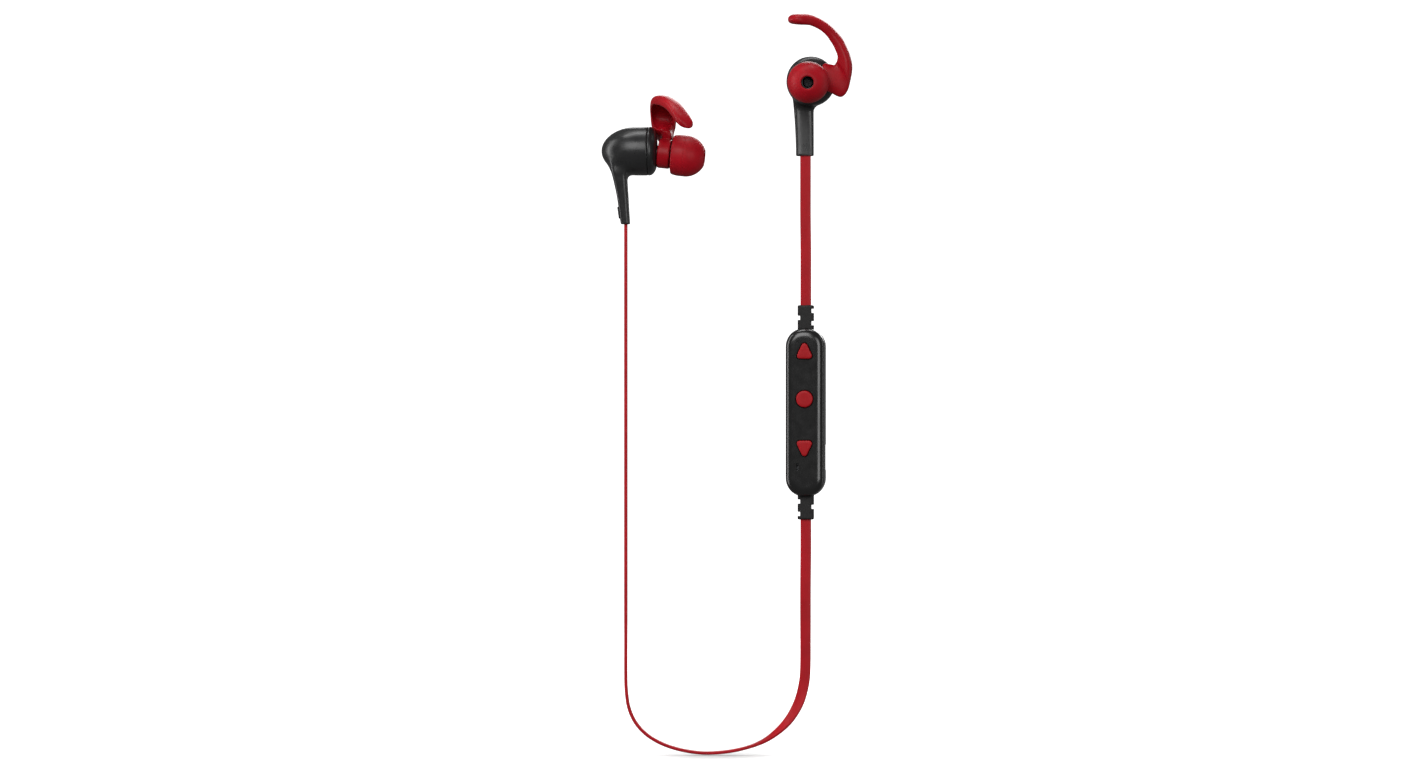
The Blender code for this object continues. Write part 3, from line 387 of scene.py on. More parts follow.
def make_materials():
    """Moulded finishes give base, roughness, tint, grain scale and grain height, in that order."""
    soft = {"Specular_IOR_Level": 0.16, "Subsurface_Weight": 0.10,
            "Subsurface_Radius": (0.0008, 0.0002, 0.0001), "Subsurface_Scale": 1.0}
    return {
        "tip": moulded("tip_silicone", (0.330, 0.0030, 0.0095), 0.46, 0.10, 2400, 0.000012, **soft),
        "hook": moulded("hook_silicone", (0.330, 0.0035, 0.0095), 0.36, 0.10, 2400, 0.00001, **soft),
        "ribbon": moulded("cable_jacket", (0.400, 0.0055, 0.0115), 0.42, 0.08, 3200, 0.00001,
                          Specular_IOR_Level=0.18),
        "housing": moulded("housing_plastic", (0.014, 0.014, 0.0145), 0.30, 0.12, 5200, 0.000003,
                           Specular_IOR_Level=0.42),
        "remote": moulded("remote_plastic", (0.0075, 0.0075, 0.0075), 0.22, 0.12, 5200, 0.000003,
                          Coat_Weight=0.12, Coat_Roughness=0.08),
        "button": moulded("button_plastic", (0.350, 0.0070, 0.0110), 0.38, 0.08, 4200, 0.000008,
                          Specular_IOR_Level=0.18),
        "rubber": moulded("black_rubber", (0.008, 0.0075, 0.0075), 0.55, 0.20, 3600, 0.00002,
                          Specular_IOR_Level=0.30),
        "board": moulded("circuit_board", (0.010, 0.100, 0.040), 0.40, 0.15, 2400, 0.00001),
        "chip": moulded("chip_plastic", (0.020, 0.020, 0.020), 0.50, 0.15, 5200, 0.00001),
        "film": moulded("diaphragm_film", (0.200, 0.200, 0.220), 0.32, 0.10, 3000, 0.000005),
        "lens": moulded("light_lens", (0.300, 0.310, 0.330), 0.25, 0.05, 3000, 0.000005,
                        Transmission_Weight=0.3),
        "steel": metal("plain_steel", (0.55, 0.55, 0.56), 0.30, (1.0, 1.0, 0.05)),
        "magnet": metal("plated_magnet", (0.42, 0.42, 0.43), 0.25),
        "copper": metal("copper_wire", (0.72, 0.30, 0.12), 0.35, (0.05, 1.0, 0.05)),
        "foil": metal("cell_foil", (0.50, 0.51, 0.53), 0.38, (0.2, 1.0, 1.0)),
        "mesh": perforated("nozzle_mesh"),
    }


MATERIALS = make_materials()


# ---------------------------------------------------------------- mesh tools

def finish_mesh(name, points, faces, sharp):
    """A closed, outward-facing mesh, smooth but for edges sharper than the given angle."""
    bm = bmesh.new()
    verts = [bm.verts.new(p) for p in points]
    for face in faces:
        bm.faces.new([verts[i] for i in face])
    return settle(name, bm, sharp)


def settle(name, bm, sharp=40.0):
    """The mesh of a bmesh, with doubled points joined and its faces turned outward."""
    bmesh.ops.remove_doubles(bm, verts=bm.verts, dist=0.000002)
    bmesh.ops.recalc_face_normals(bm, faces=bm.faces)
    mesh = bpy.data.meshes.new(name)
    bm.to_mesh(mesh)
    bm.free()
    mesh.shade_smooth()
    mesh.set_sharp_from_angle(angle=math.radians(sharp))
    return mesh


def loft(name, rings, sharp=40.0):
    """Faces between rings of points, capped at both ends."""
    count = len(rings[0])
    points = [p for ring in rings for p in ring]
    faces = []
    for low in range(0, len(points) - count, count):
        high = low + count
        for i in range(count):
            j = (i + 1) % count
            faces.append((low + i, low + j, high + j, high + i))
    faces.append(tuple(range(count - 1, -1, -1)))
    faces.append(tuple(range(len(points) - count, len(points))))
    return finish_mesh(name, points, faces, sharp)


def rounded_path(corners, closed):
    """A path through (x, y, fillet) corners, with each corner rounded by its fillet."""
    steps = 4
    path = []
    count = len(corners)
    for i, (x, y, fillet) in enumerate(corners):
        here = Vector((x, y))
        if fillet == 0 or (not closed and i in (0, count - 1)):
            path.append(here)
            continue
        before = Vector(corners[i - 1][:2])
        after = Vector(corners[(i + 1) % count][:2])
        start = here + (before - here).normalized() * min(fillet, (before - here).length / 2)
        end = here + (after - here).normalized() * min(fillet, (after - here).length / 2)
        for k in range(steps + 1):
            t = k / steps
            path.append(start * (1 - t) ** 2 + here * 2 * t * (1 - t) + end * t * t)
    return path


def lathe(name, corners, sides=72, closed=True, sharp=40.0):
    """A profile of (radius, along, fillet) turned about local Z. A closed one meets its start."""
    path = rounded_path(corners, closed)
    angles = [2 * math.pi * k / sides for k in range(sides)]
    bm = bmesh.new()
    rows = []
    for radius, along in path:
        if radius < 0.000001:
            rows.append([bm.verts.new((0.0, 0.0, along))] * sides)
        else:
            rows.append([bm.verts.new((radius * math.cos(a), radius * math.sin(a), along))
                         for a in angles])
    pairs = list(zip(rows, rows[1:]))
    if closed:
        pairs.append((rows[-1], rows[0]))
    for low, high in pairs:
        for i in range(sides):
            j = (i + 1) % sides
            around = list(dict.fromkeys((low[i], low[j], high[j], high[i])))
            if len(around) > 2:
                bm.faces.new(around)
    return settle(name, bm, sharp)


def smooth_between(stations, steps):
    """Rows of numbers read from a smooth curve through the given rows."""
    rows = np.array(stations, float)
    last = len(rows) - 1
    result = []
    for i in range(last):
        a, b = rows[max(i - 1, 0)], rows[i]
        c, d = rows[i + 1], rows[min(i + 2, last)]
        for k in range(steps):
            t = k / steps
            result.append(b + 0.5 * t * (c - a + t * (2 * a - 5 * b + 4 * c - d
                                                      + t * (3 * (b - c) + d - a))))
    result.append(rows[last])
    return np.array(result)


def smooth_min(a, b, width):
    """The lower of two fields, blended over the given width."""
    share = np.clip(0.5 + 0.5 * (b - a) / width, 0, 1)
    return b + (a - b) * share - width * share * (1 - share)


def smooth_max(a, b, width):
    """The higher of two fields, blended over the given width."""
    return -smooth_min(-a, -b, width)


def slope(field, points, reach=0.00002):
    """The field's gradient at the points."""
    result = np.zeros_like(points)
    for axis in range(3):
        step = np.zeros(3)
        step[axis] = reach
        result[:, axis] = (field(points + step) - field(points - step)) / (2 * reach)
    return result


def settle_on(field, points, rounds, step):
    """Moves the points onto the surface where the field is 0, by no more than a step a round."""
    least_steepness = 0.05
    for _ in range(rounds):
        gradient = slope(field, points)
        steepness = np.maximum((gradient ** 2).sum(1), least_steepness)
        move = -gradient * (field(points) / steepness)[:, None]
        length = np.linalg.norm(move, axis=1)
        move *= np.minimum(1.0, step / np.maximum(length, 1e-9))[:, None]
        points = points + move
    return points


def surface_net(name, field, low, high, step, sharp=50.0):
    """The surface where the field is 0, as quads whose points are then evened out along it."""
    axes = [np.arange(a, b + step, step) for a, b in zip(low, high)]
    grid = np.stack(np.meshgrid(*axes, indexing="ij"), axis=-1)
    shape = grid.shape[:3]
    inside = field(grid.reshape(-1, 3)).reshape(shape) < 0
    cells = tuple(n - 1 for n in shape)
    corners = np.zeros(cells, int)
    for i in (0, 1):
        for j in (0, 1):
            for k in (0, 1):
                corners += inside[i:i + cells[0], j:j + cells[1], k:k + cells[2]]
    mixed = (corners > 0) & (corners < 8)
    index = np.full(cells, -1)
    index[mixed] = np.arange(mixed.sum())
    points = np.array(low) + step * (np.argwhere(mixed) + 0.5)
    quads = []
    for axis in range(3):
        across = (axis + 1) % 3
        up = (axis + 2) % 3
        first = np.moveaxis(inside, (axis, across, up), (0, 1, 2))
        crossing = first[:-1] != first[1:]
        cell = np.moveaxis(index, (axis, across, up), (0, 1, 2))
        spots = np.argwhere(crossing[:, 1:-1, 1:-1])
        i, j, k = spots[:, 0], spots[:, 1], spots[:, 2]
        quads.append(np.stack([cell[i, j, k], cell[i, j + 1, k], cell[i, j + 1, k + 1],
                               cell[i, j, k + 1]], axis=1))
    quads = np.concatenate(quads)
    points = settle_on(field, points, rounds=4, step=step)
    for _ in range(3):
        total = np.zeros_like(points)
        weight = np.zeros(len(points))
        middles = points[quads].mean(axis=1)
        for column in range(4):
            np.add.at(total, quads[:, column], middles)
            np.add.at(weight, quads[:, column], 1)
        points = settle_on(field, total / weight[:, None], rounds=2, step=step)
    return finish_mesh(name, points.tolist(), quads.tolist(), sharp)


def place(name, mesh, matrix, finish, slot=None, body="headset", replaces=()):
    """A piece of the object, in place and riding on its body."""
    thing = bpy.data.objects.new(name, mesh)
    scene.collection.objects.link(thing)
    thing.matrix_world = matrix
    if finish:
        mesh.materials.clear()
        mesh.materials.append(MATERIALS[finish])
    if slot:
        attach(thing, body)
    if replaces:
        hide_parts(*replaces)
    return thing


def cut(mesh, cutters):
    """The mesh with each (mesh, matrix) cutter taken away from it."""
    target = place("target_form", mesh, Matrix.Identity(4), None)
    helpers = []
    for cutter_mesh, matrix in cutters:
        helper = place("cutter_form", cutter_mesh, matrix, None)
        helpers.append(helper)
        modifier = target.modifiers.new("cut", "BOOLEAN")
        modifier.object = helper
        modifier.operation = "DIFFERENCE"
        modifier.solver = "EXACT"
    return baked(target, helpers)


def baked(target, helpers=()):
    """The object's mesh with its modifiers applied. The object and its helpers are removed."""
    bpy.context.view_layer.update()
    graph = bpy.context.evaluated_depsgraph_get()
    mesh = bpy.data.meshes.new_from_object(target.evaluated_get(graph))
    for thing in (target, *helpers):
        bpy.data.objects.remove(thing, do_unlink=True)
    return mesh


def settle_shading(mesh, sharp):
    """Smooth shading in which broad faces keep their own direction."""
    target = place("shading_form", mesh, Matrix.Identity(4), None)
    mesh.shade_smooth()
    mesh.set_sharp_from_angle(angle=math.radians(sharp))
    modifier = target.modifiers.new("normals", "WEIGHTED_NORMAL")
    modifier.keep_sharp = True
    modifier.weight = 90
    return baked(target)


# ---------------------------------------------------------------- camera

def add_camera():
    data = bpy.data.cameras.new("camera")
    data.lens = LENS_MM
    data.sensor_width = SENSOR_MM
    data.clip_start = 0.01
    data.clip_end = 20.0
    camera = bpy.data.objects.new("camera", data)
    distance = VIEW_WIDTH * LENS_MM / SENSOR_MM
    camera.location = (VIEW_CENTRE[0], CABLE_Y - distance, VIEW_CENTRE[1])
    camera.rotation_euler = (math.pi / 2, 0, 0)
    scene.collection.objects.link(camera)
    scene.camera = camera


# ---------------------------------------------------------------- cables

def even_route(route, count):
    """Even points on a smooth curve through the route, and the length at each."""
    fine = smooth_between(route, steps=24)
    lengths = np.concatenate([[0], np.cumsum(np.linalg.norm(np.diff(fine, axis=0), axis=1))])
    at = np.linspace(0, lengths[-1], count)
    points = np.stack([np.interp(at, lengths, fine[:, 0]), np.full(count, CABLE_Y),
                       np.interp(at, lengths, fine[:, 1])], axis=1)
    return points, at


def add_ribbon(name, route, turn_at, node, count):
    """A flat cable. At a turn of 0 its face is to the front, and at 1 to the inside of the loop."""
    points, at = even_route(route, count)
    tangents = np.gradient(points, axis=0)
    tangents /= np.linalg.norm(tangents, axis=1)[:, None]
    points[0] -= tangents[0] * RIBBON_TUCK
    points[-1] += tangents[-1] * RIBBON_TUCK
    rings = []
    for point, tangent, along in zip(points, tangents, at):
        turn = math.pi / 2 * turn_at(along)
        inward = np.cross(tangent, (0.0, -1.0, 0.0))
        face = math.cos(turn) * np.array((0.0, -1.0, 0.0)) + math.sin(turn) * inward
        across = np.cross(tangent, face)
        ring = []
        for k in range(RIBBON_SIDES):
            angle = 2 * math.pi * (k + 0.5) / RIBBON_SIDES
            c, s = math.cos(angle), math.sin(angle)
            u = math.copysign(abs(c) ** RIBBON_SQUARENESS, c)
            v = math.copysign(abs(s) ** RIBBON_SQUARENESS, s)
            crown = 1 - RIBBON_CROWN * (1 - (1 - abs(u)) ** 2) ** 2
            ring.append(point + across * u * RIBBON_WIDTH / 2
                        + face * v * crown * RIBBON_THICKNESS / 2)
        rings.append(ring)
    ribbon = place(name, loft(name, rings), Matrix.Identity(4), "ribbon", "red_ribbon",
                   replaces=(node,))


def loop_turn(along):
    """The long cable's quarter twist, eased at both ends."""
    t = min(max((along - TWIST_START) / (TWIST_END - TWIST_START), 0.0), 1.0)
    return t * t * (3 - 2 * t)


def add_cables():
    add_ribbon("long_ribbon", LOOP_ROUTE, loop_turn, "long_cable", count=420)
    add_ribbon("short_ribbon", SHORT_ROUTE, lambda along: 0.0, "short_cable", count=90)


# ---------------------------------------------------------------- earbuds

def power_sum(u, v, power):
    """1 on a superellipse: round at a power of 2, and squarer above it."""
    return (np.abs(u) ** power + np.abs(v) ** power) ** (1 / power)


STEM_ROWS = smooth_between(STEM_SECTIONS, steps=8)


def dome_field(points, radius, back):
    """Below 0 inside the dome."""
    across = np.hypot(points[:, 0] - HOUSING_X, points[:, 2] - HOUSING_Z)
    behind = np.maximum(HOUSING_WIDEST + points[:, 1], 0)
    return (power_sum(across / radius, behind / (HOUSING_WIDEST - back), DOME_POWER) - 1) * radius


def stem_field(points):
    """Below 0 inside the stem."""
    z = points[:, 2]
    back, front, left, right = (np.interp(z, STEM_ROWS[:, 0], STEM_ROWS[:, i]) for i in range(1, 5))
    half_x = (right - left) / 2
    half_y = (front - back) / 2
    u = (points[:, 0] - (left + right) / 2) / half_x
    v = (points[:, 1] + (front + back) / 2) / half_y
    field = (power_sum(u, v, STEM_POWER) - 1) * np.minimum(half_x, half_y)
    return field + STEM_FADE * np.maximum(z - STEM_FADE_START, 0) ** 2


def rear_shell_field(points):
    """Below 0 inside the rear housing: dome and stem, cut flat at both ends and hollow inside."""
    ahead = -points[:, 1]
    solid = smooth_min(dome_field(points, HOUSING_RADIUS, HOUSING_BACK), stem_field(points),
                       STEM_BLEND)
    solid = smooth_max(solid, ahead - HOUSING_SEAM, SEAM_ROUNDING)
    solid = smooth_max(solid, -points[:, 2], STEM_END_ROUNDING)
    cavity = dome_field(points, HOUSING_RADIUS - HOUSING_WALL, HOUSING_BACK + HOUSING_WALL)
    return smooth_max(solid, -cavity, CAVITY_ROUNDING)


def add_rear_shells():
    """Both rear housings, each with the small dark vent on top, by the seam."""
    shell = surface_net("rear_shell", rear_shell_field, SHELL_LOW, SHELL_HIGH, SHELL_STEP)
    vent = block("vent", VENT_SIZE, VENT_BEVEL)
    to_axis = Matrix.Translation((HOUSING_X, -VENT_AHEAD, HOUSING_Z))
    to_skin = Matrix.Translation((0, 0, HOUSING_RADIUS - VENT_SIZE[2] / 2 + VENT_PROUD))
    to_vent = to_axis @ Matrix.Rotation(-VENT_TURN, 4, "Y") @ to_skin
    for side, bud, _, _ in EARBUDS:
        place(f"{side}_rear_shell", shell.copy(), bud, "housing", "housing_plastic",
              replaces=(f"{side}_rear_housing",))
        place(f"{side}_vent", vent.copy(), bud @ to_vent, "rubber", "black_rubber")


def front_cap_mesh():
    """The front cover: its rounded front, its rim at the seam and the spigot behind it."""
    rim = HOUSING_SEAM + SEAM_GAP
    spigot = HOUSING_RADIUS - HOUSING_WALL - SPIGOT_GAP
    inside = spigot - SPIGOT_WALL
    root = HOUSING_SEAM - SPIGOT_LENGTH
    corners = [(0.0, HOUSING_FRONT, 0)]
    for i in range(FRONT_CORNER_STEPS + 1):
        angle = math.pi / 2 * i / FRONT_CORNER_STEPS
        corners.append((HOUSING_RADIUS - FRONT_CORNER_WIDTH * (1 - math.sin(angle)),
                        HOUSING_FRONT - FRONT_CORNER_DEPTH * (1 - math.cos(angle)), 0))
    corners += [(HOUSING_RADIUS - RIM_DRAFT, rim, 0.00015), (spigot, rim, 0),
                (spigot, root, 0.0002), (inside, root, 0.0002),
                (inside, HOUSING_FRONT - FRONT_EDGE_WALL, 0.0008),
                (0.0, HOUSING_FRONT - FRONT_WALL, 0)]
    return lathe("cap_form", corners, closed=False, sharp=50)


def nozzle_mesh():
    """The sound nozzle: a tube whose barb keeps the ear tip on."""
    barb = NOZZLE_LENGTH - BARB_LENGTH
    return lathe("nozzle_form", (
        (NOZZLE_BORE, NOZZLE_LENGTH, 0.0002), (NOZZLE_RADIUS, NOZZLE_LENGTH, 0.0003),
        (BARB_RADIUS, barb, 0.0002), (NOZZLE_RADIUS, barb, 0), (NOZZLE_RADIUS, -NOZZLE_ROOT, 0),
        (NOZZLE_BORE, -NOZZLE_ROOT, 0)), sides=48)


def joined(name, parts):
    """One mesh of several (mesh, matrix) parts."""
    bm = bmesh.new()
    for mesh, matrix in parts:
        copy = mesh.copy()
        copy.transform(matrix)
        bm.from_mesh(copy)
        bpy.data.meshes.remove(copy)
    result = bpy.data.meshes.new(name)
    bm.to_mesh(result)
    bm.free()
    return result


def axis_matrix(bud):
    """The place where the housing's axis crosses the cable's line."""
    return bud @ Matrix.Translation((HOUSING_X, 0, HOUSING_Z))


def nozzle_matrix(bud):
    """The root of the nozzle, on the face of the front cover."""
    shift = Matrix.Translation((NOZZLE_SHIFT[0], -HOUSING_FRONT, NOZZLE_SHIFT[1]))
    tilt = Matrix.Rotation(-NOZZLE_SIDE_TILT, 4, "Z") @ Matrix.Rotation(NOZZLE_DROP, 4, "X")
    return axis_matrix(bud) @ shift @ tilt


def add_front_caps():
    still = Matrix.Identity(4)
    parts = ((front_cap_mesh(), axis_matrix(still) @ UPRIGHT),
             (nozzle_mesh(), nozzle_matrix(still) @ UPRIGHT))
    for side, bud, _, _ in EARBUDS:
        place(f"{side}_front_cap", joined(f"{side}_front_cap", parts), bud, "housing",
              "housing_plastic", replaces=(f"{side}_front_housing",))


def blade_mesh(turn, hang):
    """The hook's blade, with a gutter along its inner face. What reaches ahead hangs down."""
    down = Vector((math.sin(turn), 0, -math.cos(turn)))
    middle = (RING_START + RING_END) / 2
    rows = smooth_between(BLADE_SECTIONS, steps=8)
    centres = [Vector(((r[0] + r[2]) / 2, -(middle + r[4]), (r[1] + r[3]) / 2)) for r in rows]
    rings = []
    for i, row in enumerate(rows):
        tangent = centres[min(i + 1, len(rows) - 1)] - centres[max(i - 1, 0)]
        across = Vector((row[2] - row[0], 0, row[3] - row[1]))
        half_width = across.length / 2
        across.normalize()
        depth = tangent.cross(across).normalized()
        half_depth, gutter = row[5], max(row[6], 0.0)
        ring = []
        for k in range(BLADE_SIDES):
            angle = 2 * math.pi * k / BLADE_SIDES
            c, s = math.cos(angle), math.sin(angle)
            u = math.copysign(abs(c) ** (2 / BLADE_POWER), c)
            v = math.copysign(abs(s) ** (2 / BLADE_POWER), s)
            sunk = gutter * max(0.0, 1 - (v / GUTTER_SHARE) ** 4) if c < 0 else 0.0
            point = centres[i] + across * (u * half_width + sunk) + depth * v * half_depth
            ahead = -point.y - middle
            ring.append(point + down * hang * (ahead + math.hypot(ahead, HANG_EASE)) / 2)
        rings.append(ring)
    return loft("blade_form", rings)


def hook_mesh(turn, hang):
    """The ring and the blade as one soft piece, in the nozzle's frame."""
    ring = lathe("ring_form", (
        (RING_BORE, RING_END, 0.0003), (RING_RADIUS, RING_END, 0.0005),
        (RING_RADIUS, RING_START, 0.0005), (RING_BORE, RING_START, 0.0003)), sides=64)
    target = place("hook_form", blade_mesh(turn, hang), Matrix.Rotation(turn, 4, "Y"), None)
    helper = place("ring_form", ring, UPRIGHT, None)
    union = target.modifiers.new("union", "BOOLEAN")
    union.object = helper
    union.operation = "UNION"
    union.solver = "EXACT"
    remesh = target.modifiers.new("remesh", "REMESH")
    remesh.mode = "VOXEL"
    remesh.voxel_size = HOOK_VOXEL
    smooth = target.modifiers.new("smooth", "SMOOTH")
    smooth.factor = 0.5
    smooth.iterations = HOOK_SMOOTHING
    turned = target.matrix_world.copy()
    mesh = baked(target, (helper,))
    mesh.transform(turned)
    mesh.shade_smooth()
    return mesh


def add_hooks():
    for side, bud, turn, hang in EARBUDS:
        place(f"{side}_hook", hook_mesh(turn, hang), nozzle_matrix(bud), "hook", "red_silicone",
              body=f"{side}_ear_hook", replaces=(f"{side}_ear_hook",))


def tip_mesh():
    """The ear tip, as a profile that goes round the wall of the skirt and of the inner sleeve."""
    centre = TIP_END - TIP_RADIUS
    inner = TIP_RADIUS - TIP_SKIN
    mouth = [(TIP_MOUTH, TIP_END - 0.0011, 0), (TIP_MOUTH + 0.00002, TIP_END - 0.00048, 0.0003)]
    start = math.asin((TIP_MOUTH + 0.0003) / TIP_RADIUS)
    dome_steps = 22
    dome = []
    for i in range(1, dome_steps + 1):
        angle = start + (math.pi / 2 - start) * i / dome_steps
        dome.append((TIP_RADIUS * math.sin(angle), centre + TIP_RADIUS * math.cos(angle), 0))
    groove = TIP_RADIUS - PARTING_DEPTH
    parting_line = [(TIP_RADIUS, centre - 0.0001, 0), (groove, centre - 0.00017, 0),
                    (groove, centre - 0.00025, 0), (TIP_RADIUS, centre - 0.00032, 0)]
    skirt = [(TIP_RADIUS - 0.00003, centre - 0.0022, 0),
             (TIP_RADIUS - 0.0003, TIP_START + 0.0003, 0.0005),
             (TIP_RADIUS - 0.0007, TIP_START, 0.0002),
             (inner - 0.0003, TIP_START + 0.0002, 0.0002)]
    hollow = [(inner, centre, 0)]
    hollow_turn = math.radians(7)
    for i in range(1, 9):
        angle = math.pi / 2 - hollow_turn * i
        hollow.append((inner * math.sin(angle), centre + inner * math.cos(angle), 0))
    sleeve_start = TIP_START + 0.0005
    sleeve = [(SLEEVE_RADIUS, centre + 0.0004, 0.0004), (SLEEVE_RADIUS, sleeve_start, 0.0002),
              (SLEEVE_BORE, sleeve_start, 0.0002), (SLEEVE_BORE, SLEEVE_END, 0),
              (TIP_MOUTH, SLEEVE_END + 0.0006, 0)]
    corners = mouth + dome + parting_line + skirt + hollow + sleeve
    return lathe("ear_tip", corners, sides=96, sharp=35)


def add_tips():
    mesh = tip_mesh()
    for side, bud, _, _ in EARBUDS:
        place(f"{side}_tip", mesh.copy(), nozzle_matrix(bud) @ UPRIGHT, "tip", "red_silicone",
              body=f"{side}_ear_tip", replaces=(f"{side}_ear_tip",))


# ---------------------------------------------------------------- remote

def rounded_outline(inset, steps=10):
    """The remote's outline, drawn in by the inset."""
    width = REMOTE_WIDTH / 2 - inset
    length = REMOTE_LENGTH / 2 - inset
    corner = REMOTE_CORNER - inset
    points = []
    for quarter, (sx, sy) in enumerate(((1, 1), (-1, 1), (-1, -1), (1, -1))):
        for i in range(steps + 1):
            angle = math.pi / 2 * (quarter + i / steps)
            points.append((sx * (width - corner) + corner * math.cos(angle),
                           sy * (length - corner) + corner * math.sin(angle)))
    return points


def cover_profile(wall):
    """(inset, depth) from the rim of the flat face round the edge, a wall in from the outside."""
    rows = []
    edge_width = EDGE_WIDTH - wall * EDGE_NARROWING
    edge_depth = EDGE_DEPTH - wall * EDGE_SHALLOWING
    face = REMOTE_DEPTH / 2 - wall
    for i in range(EDGE_STEPS + 1):
        angle = math.pi / 2 * i / EDGE_STEPS
        inset = edge_width * (1 - math.sin(angle) ** (2 / EDGE_POWER)) + wall
        depth = face - edge_depth * (1 - math.cos(angle) ** (2 / EDGE_POWER))
        rows.append((inset, depth))
    return rows


def cover_mesh(name):
    """One half of the case, its face to local +Z, as a closed shell."""
    rim = [(0.0, COVER_SEAM + COVER_BEVEL_DEPTH), (COVER_BEVEL_WIDTH, COVER_SEAM),
           (REMOTE_WALL, COVER_SEAM)]
    rows = cover_profile(0.0) + rim + cover_profile(REMOTE_WALL)[::-1]
    rings = [[(x, y, depth) for x, y in rounded_outline(inset)] for inset, depth in rows]
    return loft(name, rings, sharp=35)


def button_outline(kind, extra, count=48, corner_steps=10):
    """Points round a button, anticlockwise, made bigger by the extra."""
    if kind == "round":
        radius = BUTTON_SIZE / 2 + extra
        angles = [2 * math.pi * i / count for i in range(count)]
        return [(radius * math.cos(angle), radius * math.sin(angle)) for angle in angles]
    radius = TRIANGLE_CORNER + extra
    centres = ((TRIANGLE_FOOT, -TRIANGLE_RISE), (0.0, TRIANGLE_RISE),
               (-TRIANGLE_FOOT, -TRIANGLE_RISE))
    slope_angle = math.atan2(TRIANGLE_FOOT, 2 * TRIANGLE_RISE)
    edges = (-math.pi / 2, slope_angle, math.pi - slope_angle, 3 * math.pi / 2)
    points = []
    for (x, y), start, end in zip(centres, edges, edges[1:]):
        for i in range(corner_steps + 1):
            angle = start + (end - start) * i / corner_steps
            points.append((x + radius * math.cos(angle), y + radius * math.sin(angle)))
    sign = 1 if kind == "up" else -1
    return [(sign * x, sign * y) for x, y in points]


BUTTONS = (("volume_up", "up", VOLUME_UP_Z), ("multifunction", "round", MULTIFUNCTION_Z),
           ("volume_down", "down", VOLUME_DOWN_Z))


def button_rings(kind, rows):
    """The button's outline at each (extra, height) of the rows."""
    return [[(x, y, depth) for x, y in button_outline(kind, extra)] for extra, depth in rows]


def block(name, size, bevel):
    """A block with rounded edges."""
    bm = bmesh.new()
    bmesh.ops.create_cube(bm, size=1.0, matrix=Matrix.Diagonal((*size, 1.0)))
    bmesh.ops.bevel(bm, geom=bm.edges[:], offset=bevel, segments=3, affect="EDGES", profile=0.5)
    return settle(name, bm)


def add_front_cover():
    """The front cover, with the buttons' openings, the light's slit and the microphone's hole."""
    face = REMOTE_DEPTH / 2
    cutters = []
    rows = [(extra, face + height) for extra, height in OPENING_ROWS]
    for name, kind, z in BUTTONS:
        cutters.append((loft(name, button_rings(kind, rows)), Matrix.Translation((0, z, 0))))
    cutters.append((block("slit", LIGHT_SLIT, LIGHT_BEVEL),
                    Matrix.Translation((LIGHT_X, LIGHT_Z, face))))
    port = lathe("port", ((0.0, -PORT_REACH, 0), (PORT_RADIUS, -PORT_REACH, 0),
                          (PORT_RADIUS, PORT_REACH, 0), (0.0, PORT_REACH, 0)), sides=24, closed=False)
    cutters.append((port, Matrix.Translation((-REMOTE_WIDTH / 2, PORT_Z, PORT_AHEAD))
                    @ Matrix.Rotation(math.pi / 2, 4, "Y")))
    front = settle_shading(cut(cover_mesh("front_cover"), cutters), 35)
    place("remote_front", front, REMOTE @ UPRIGHT, "remote", "remote_plastic",
          replaces=("remote_front_cover",))


def add_back_cover():
    """The back cover, with the charging socket's opening."""
    backwards = Matrix.Rotation(math.pi, 4, "Y")
    opening = block("opening", SOCKET_OPENING, SOCKET_CORNER)
    back = cut(cover_mesh("back_cover"),
               [(opening, Matrix.Translation((-REMOTE_WIDTH / 2, SOCKET_Z, SOCKET_Y)))])
    place("remote_back", settle_shading(back, 35), REMOTE @ UPRIGHT @ backwards, "remote",
          "remote_plastic", replaces=("remote_back_cover",))


def add_buttons():
    face = REMOTE_DEPTH / 2 + BUTTON_PROUD
    rows = [(0.0, face - BUTTON_DEPTH)]
    for i in range(BUTTON_STEPS + 1):
        angle = math.pi / 2 * i / BUTTON_STEPS
        rows.append((-BUTTON_EDGE_WIDTH * (1 - math.cos(angle)),
                     face - BUTTON_EDGE_DEPTH * (1 - math.sin(angle))))
    rows.append((-2 * BUTTON_EDGE_WIDTH, face + BUTTON_CROWN))
    for name, kind, z in BUTTONS:
        mesh = settle_shading(loft(f"{name}_cap", button_rings(kind, rows)), 60)
        place(f"{name}_cap", mesh, REMOTE @ Matrix.Translation((0, 0, z)) @ UPRIGHT, "button",
              "red_button", body=f"{name}_button", replaces=(f"{name}_button",))


def sleeve_field(points):
    """Below 0 inside a strain relief: a rounded block with a notch on alternate sides."""
    low, high = -RELIEF_TUCK, RELIEF_LENGTH + RELIEF_OVERRUN
    half = (RELIEF_WIDTH / 2, RELIEF_DEPTH / 2, (high - low) / 2)
    offset = np.abs(points - np.array((0, 0, (low + high) / 2)))
    sides = [offset[:, i] - half[i] for i in range(3)]
    field = smooth_max(smooth_max(sides[0], sides[1], RELIEF_CORNER), sides[2], RELIEF_END_CORNER)
    for sign, z in NOTCHES:
        notch = np.maximum(NOTCH_FLOOR - sign * points[:, 0],
                           np.abs(points[:, 2] - z) - NOTCH_HEIGHT / 2)
        field = smooth_max(field, -notch, NOTCH_CORNER)
    return field


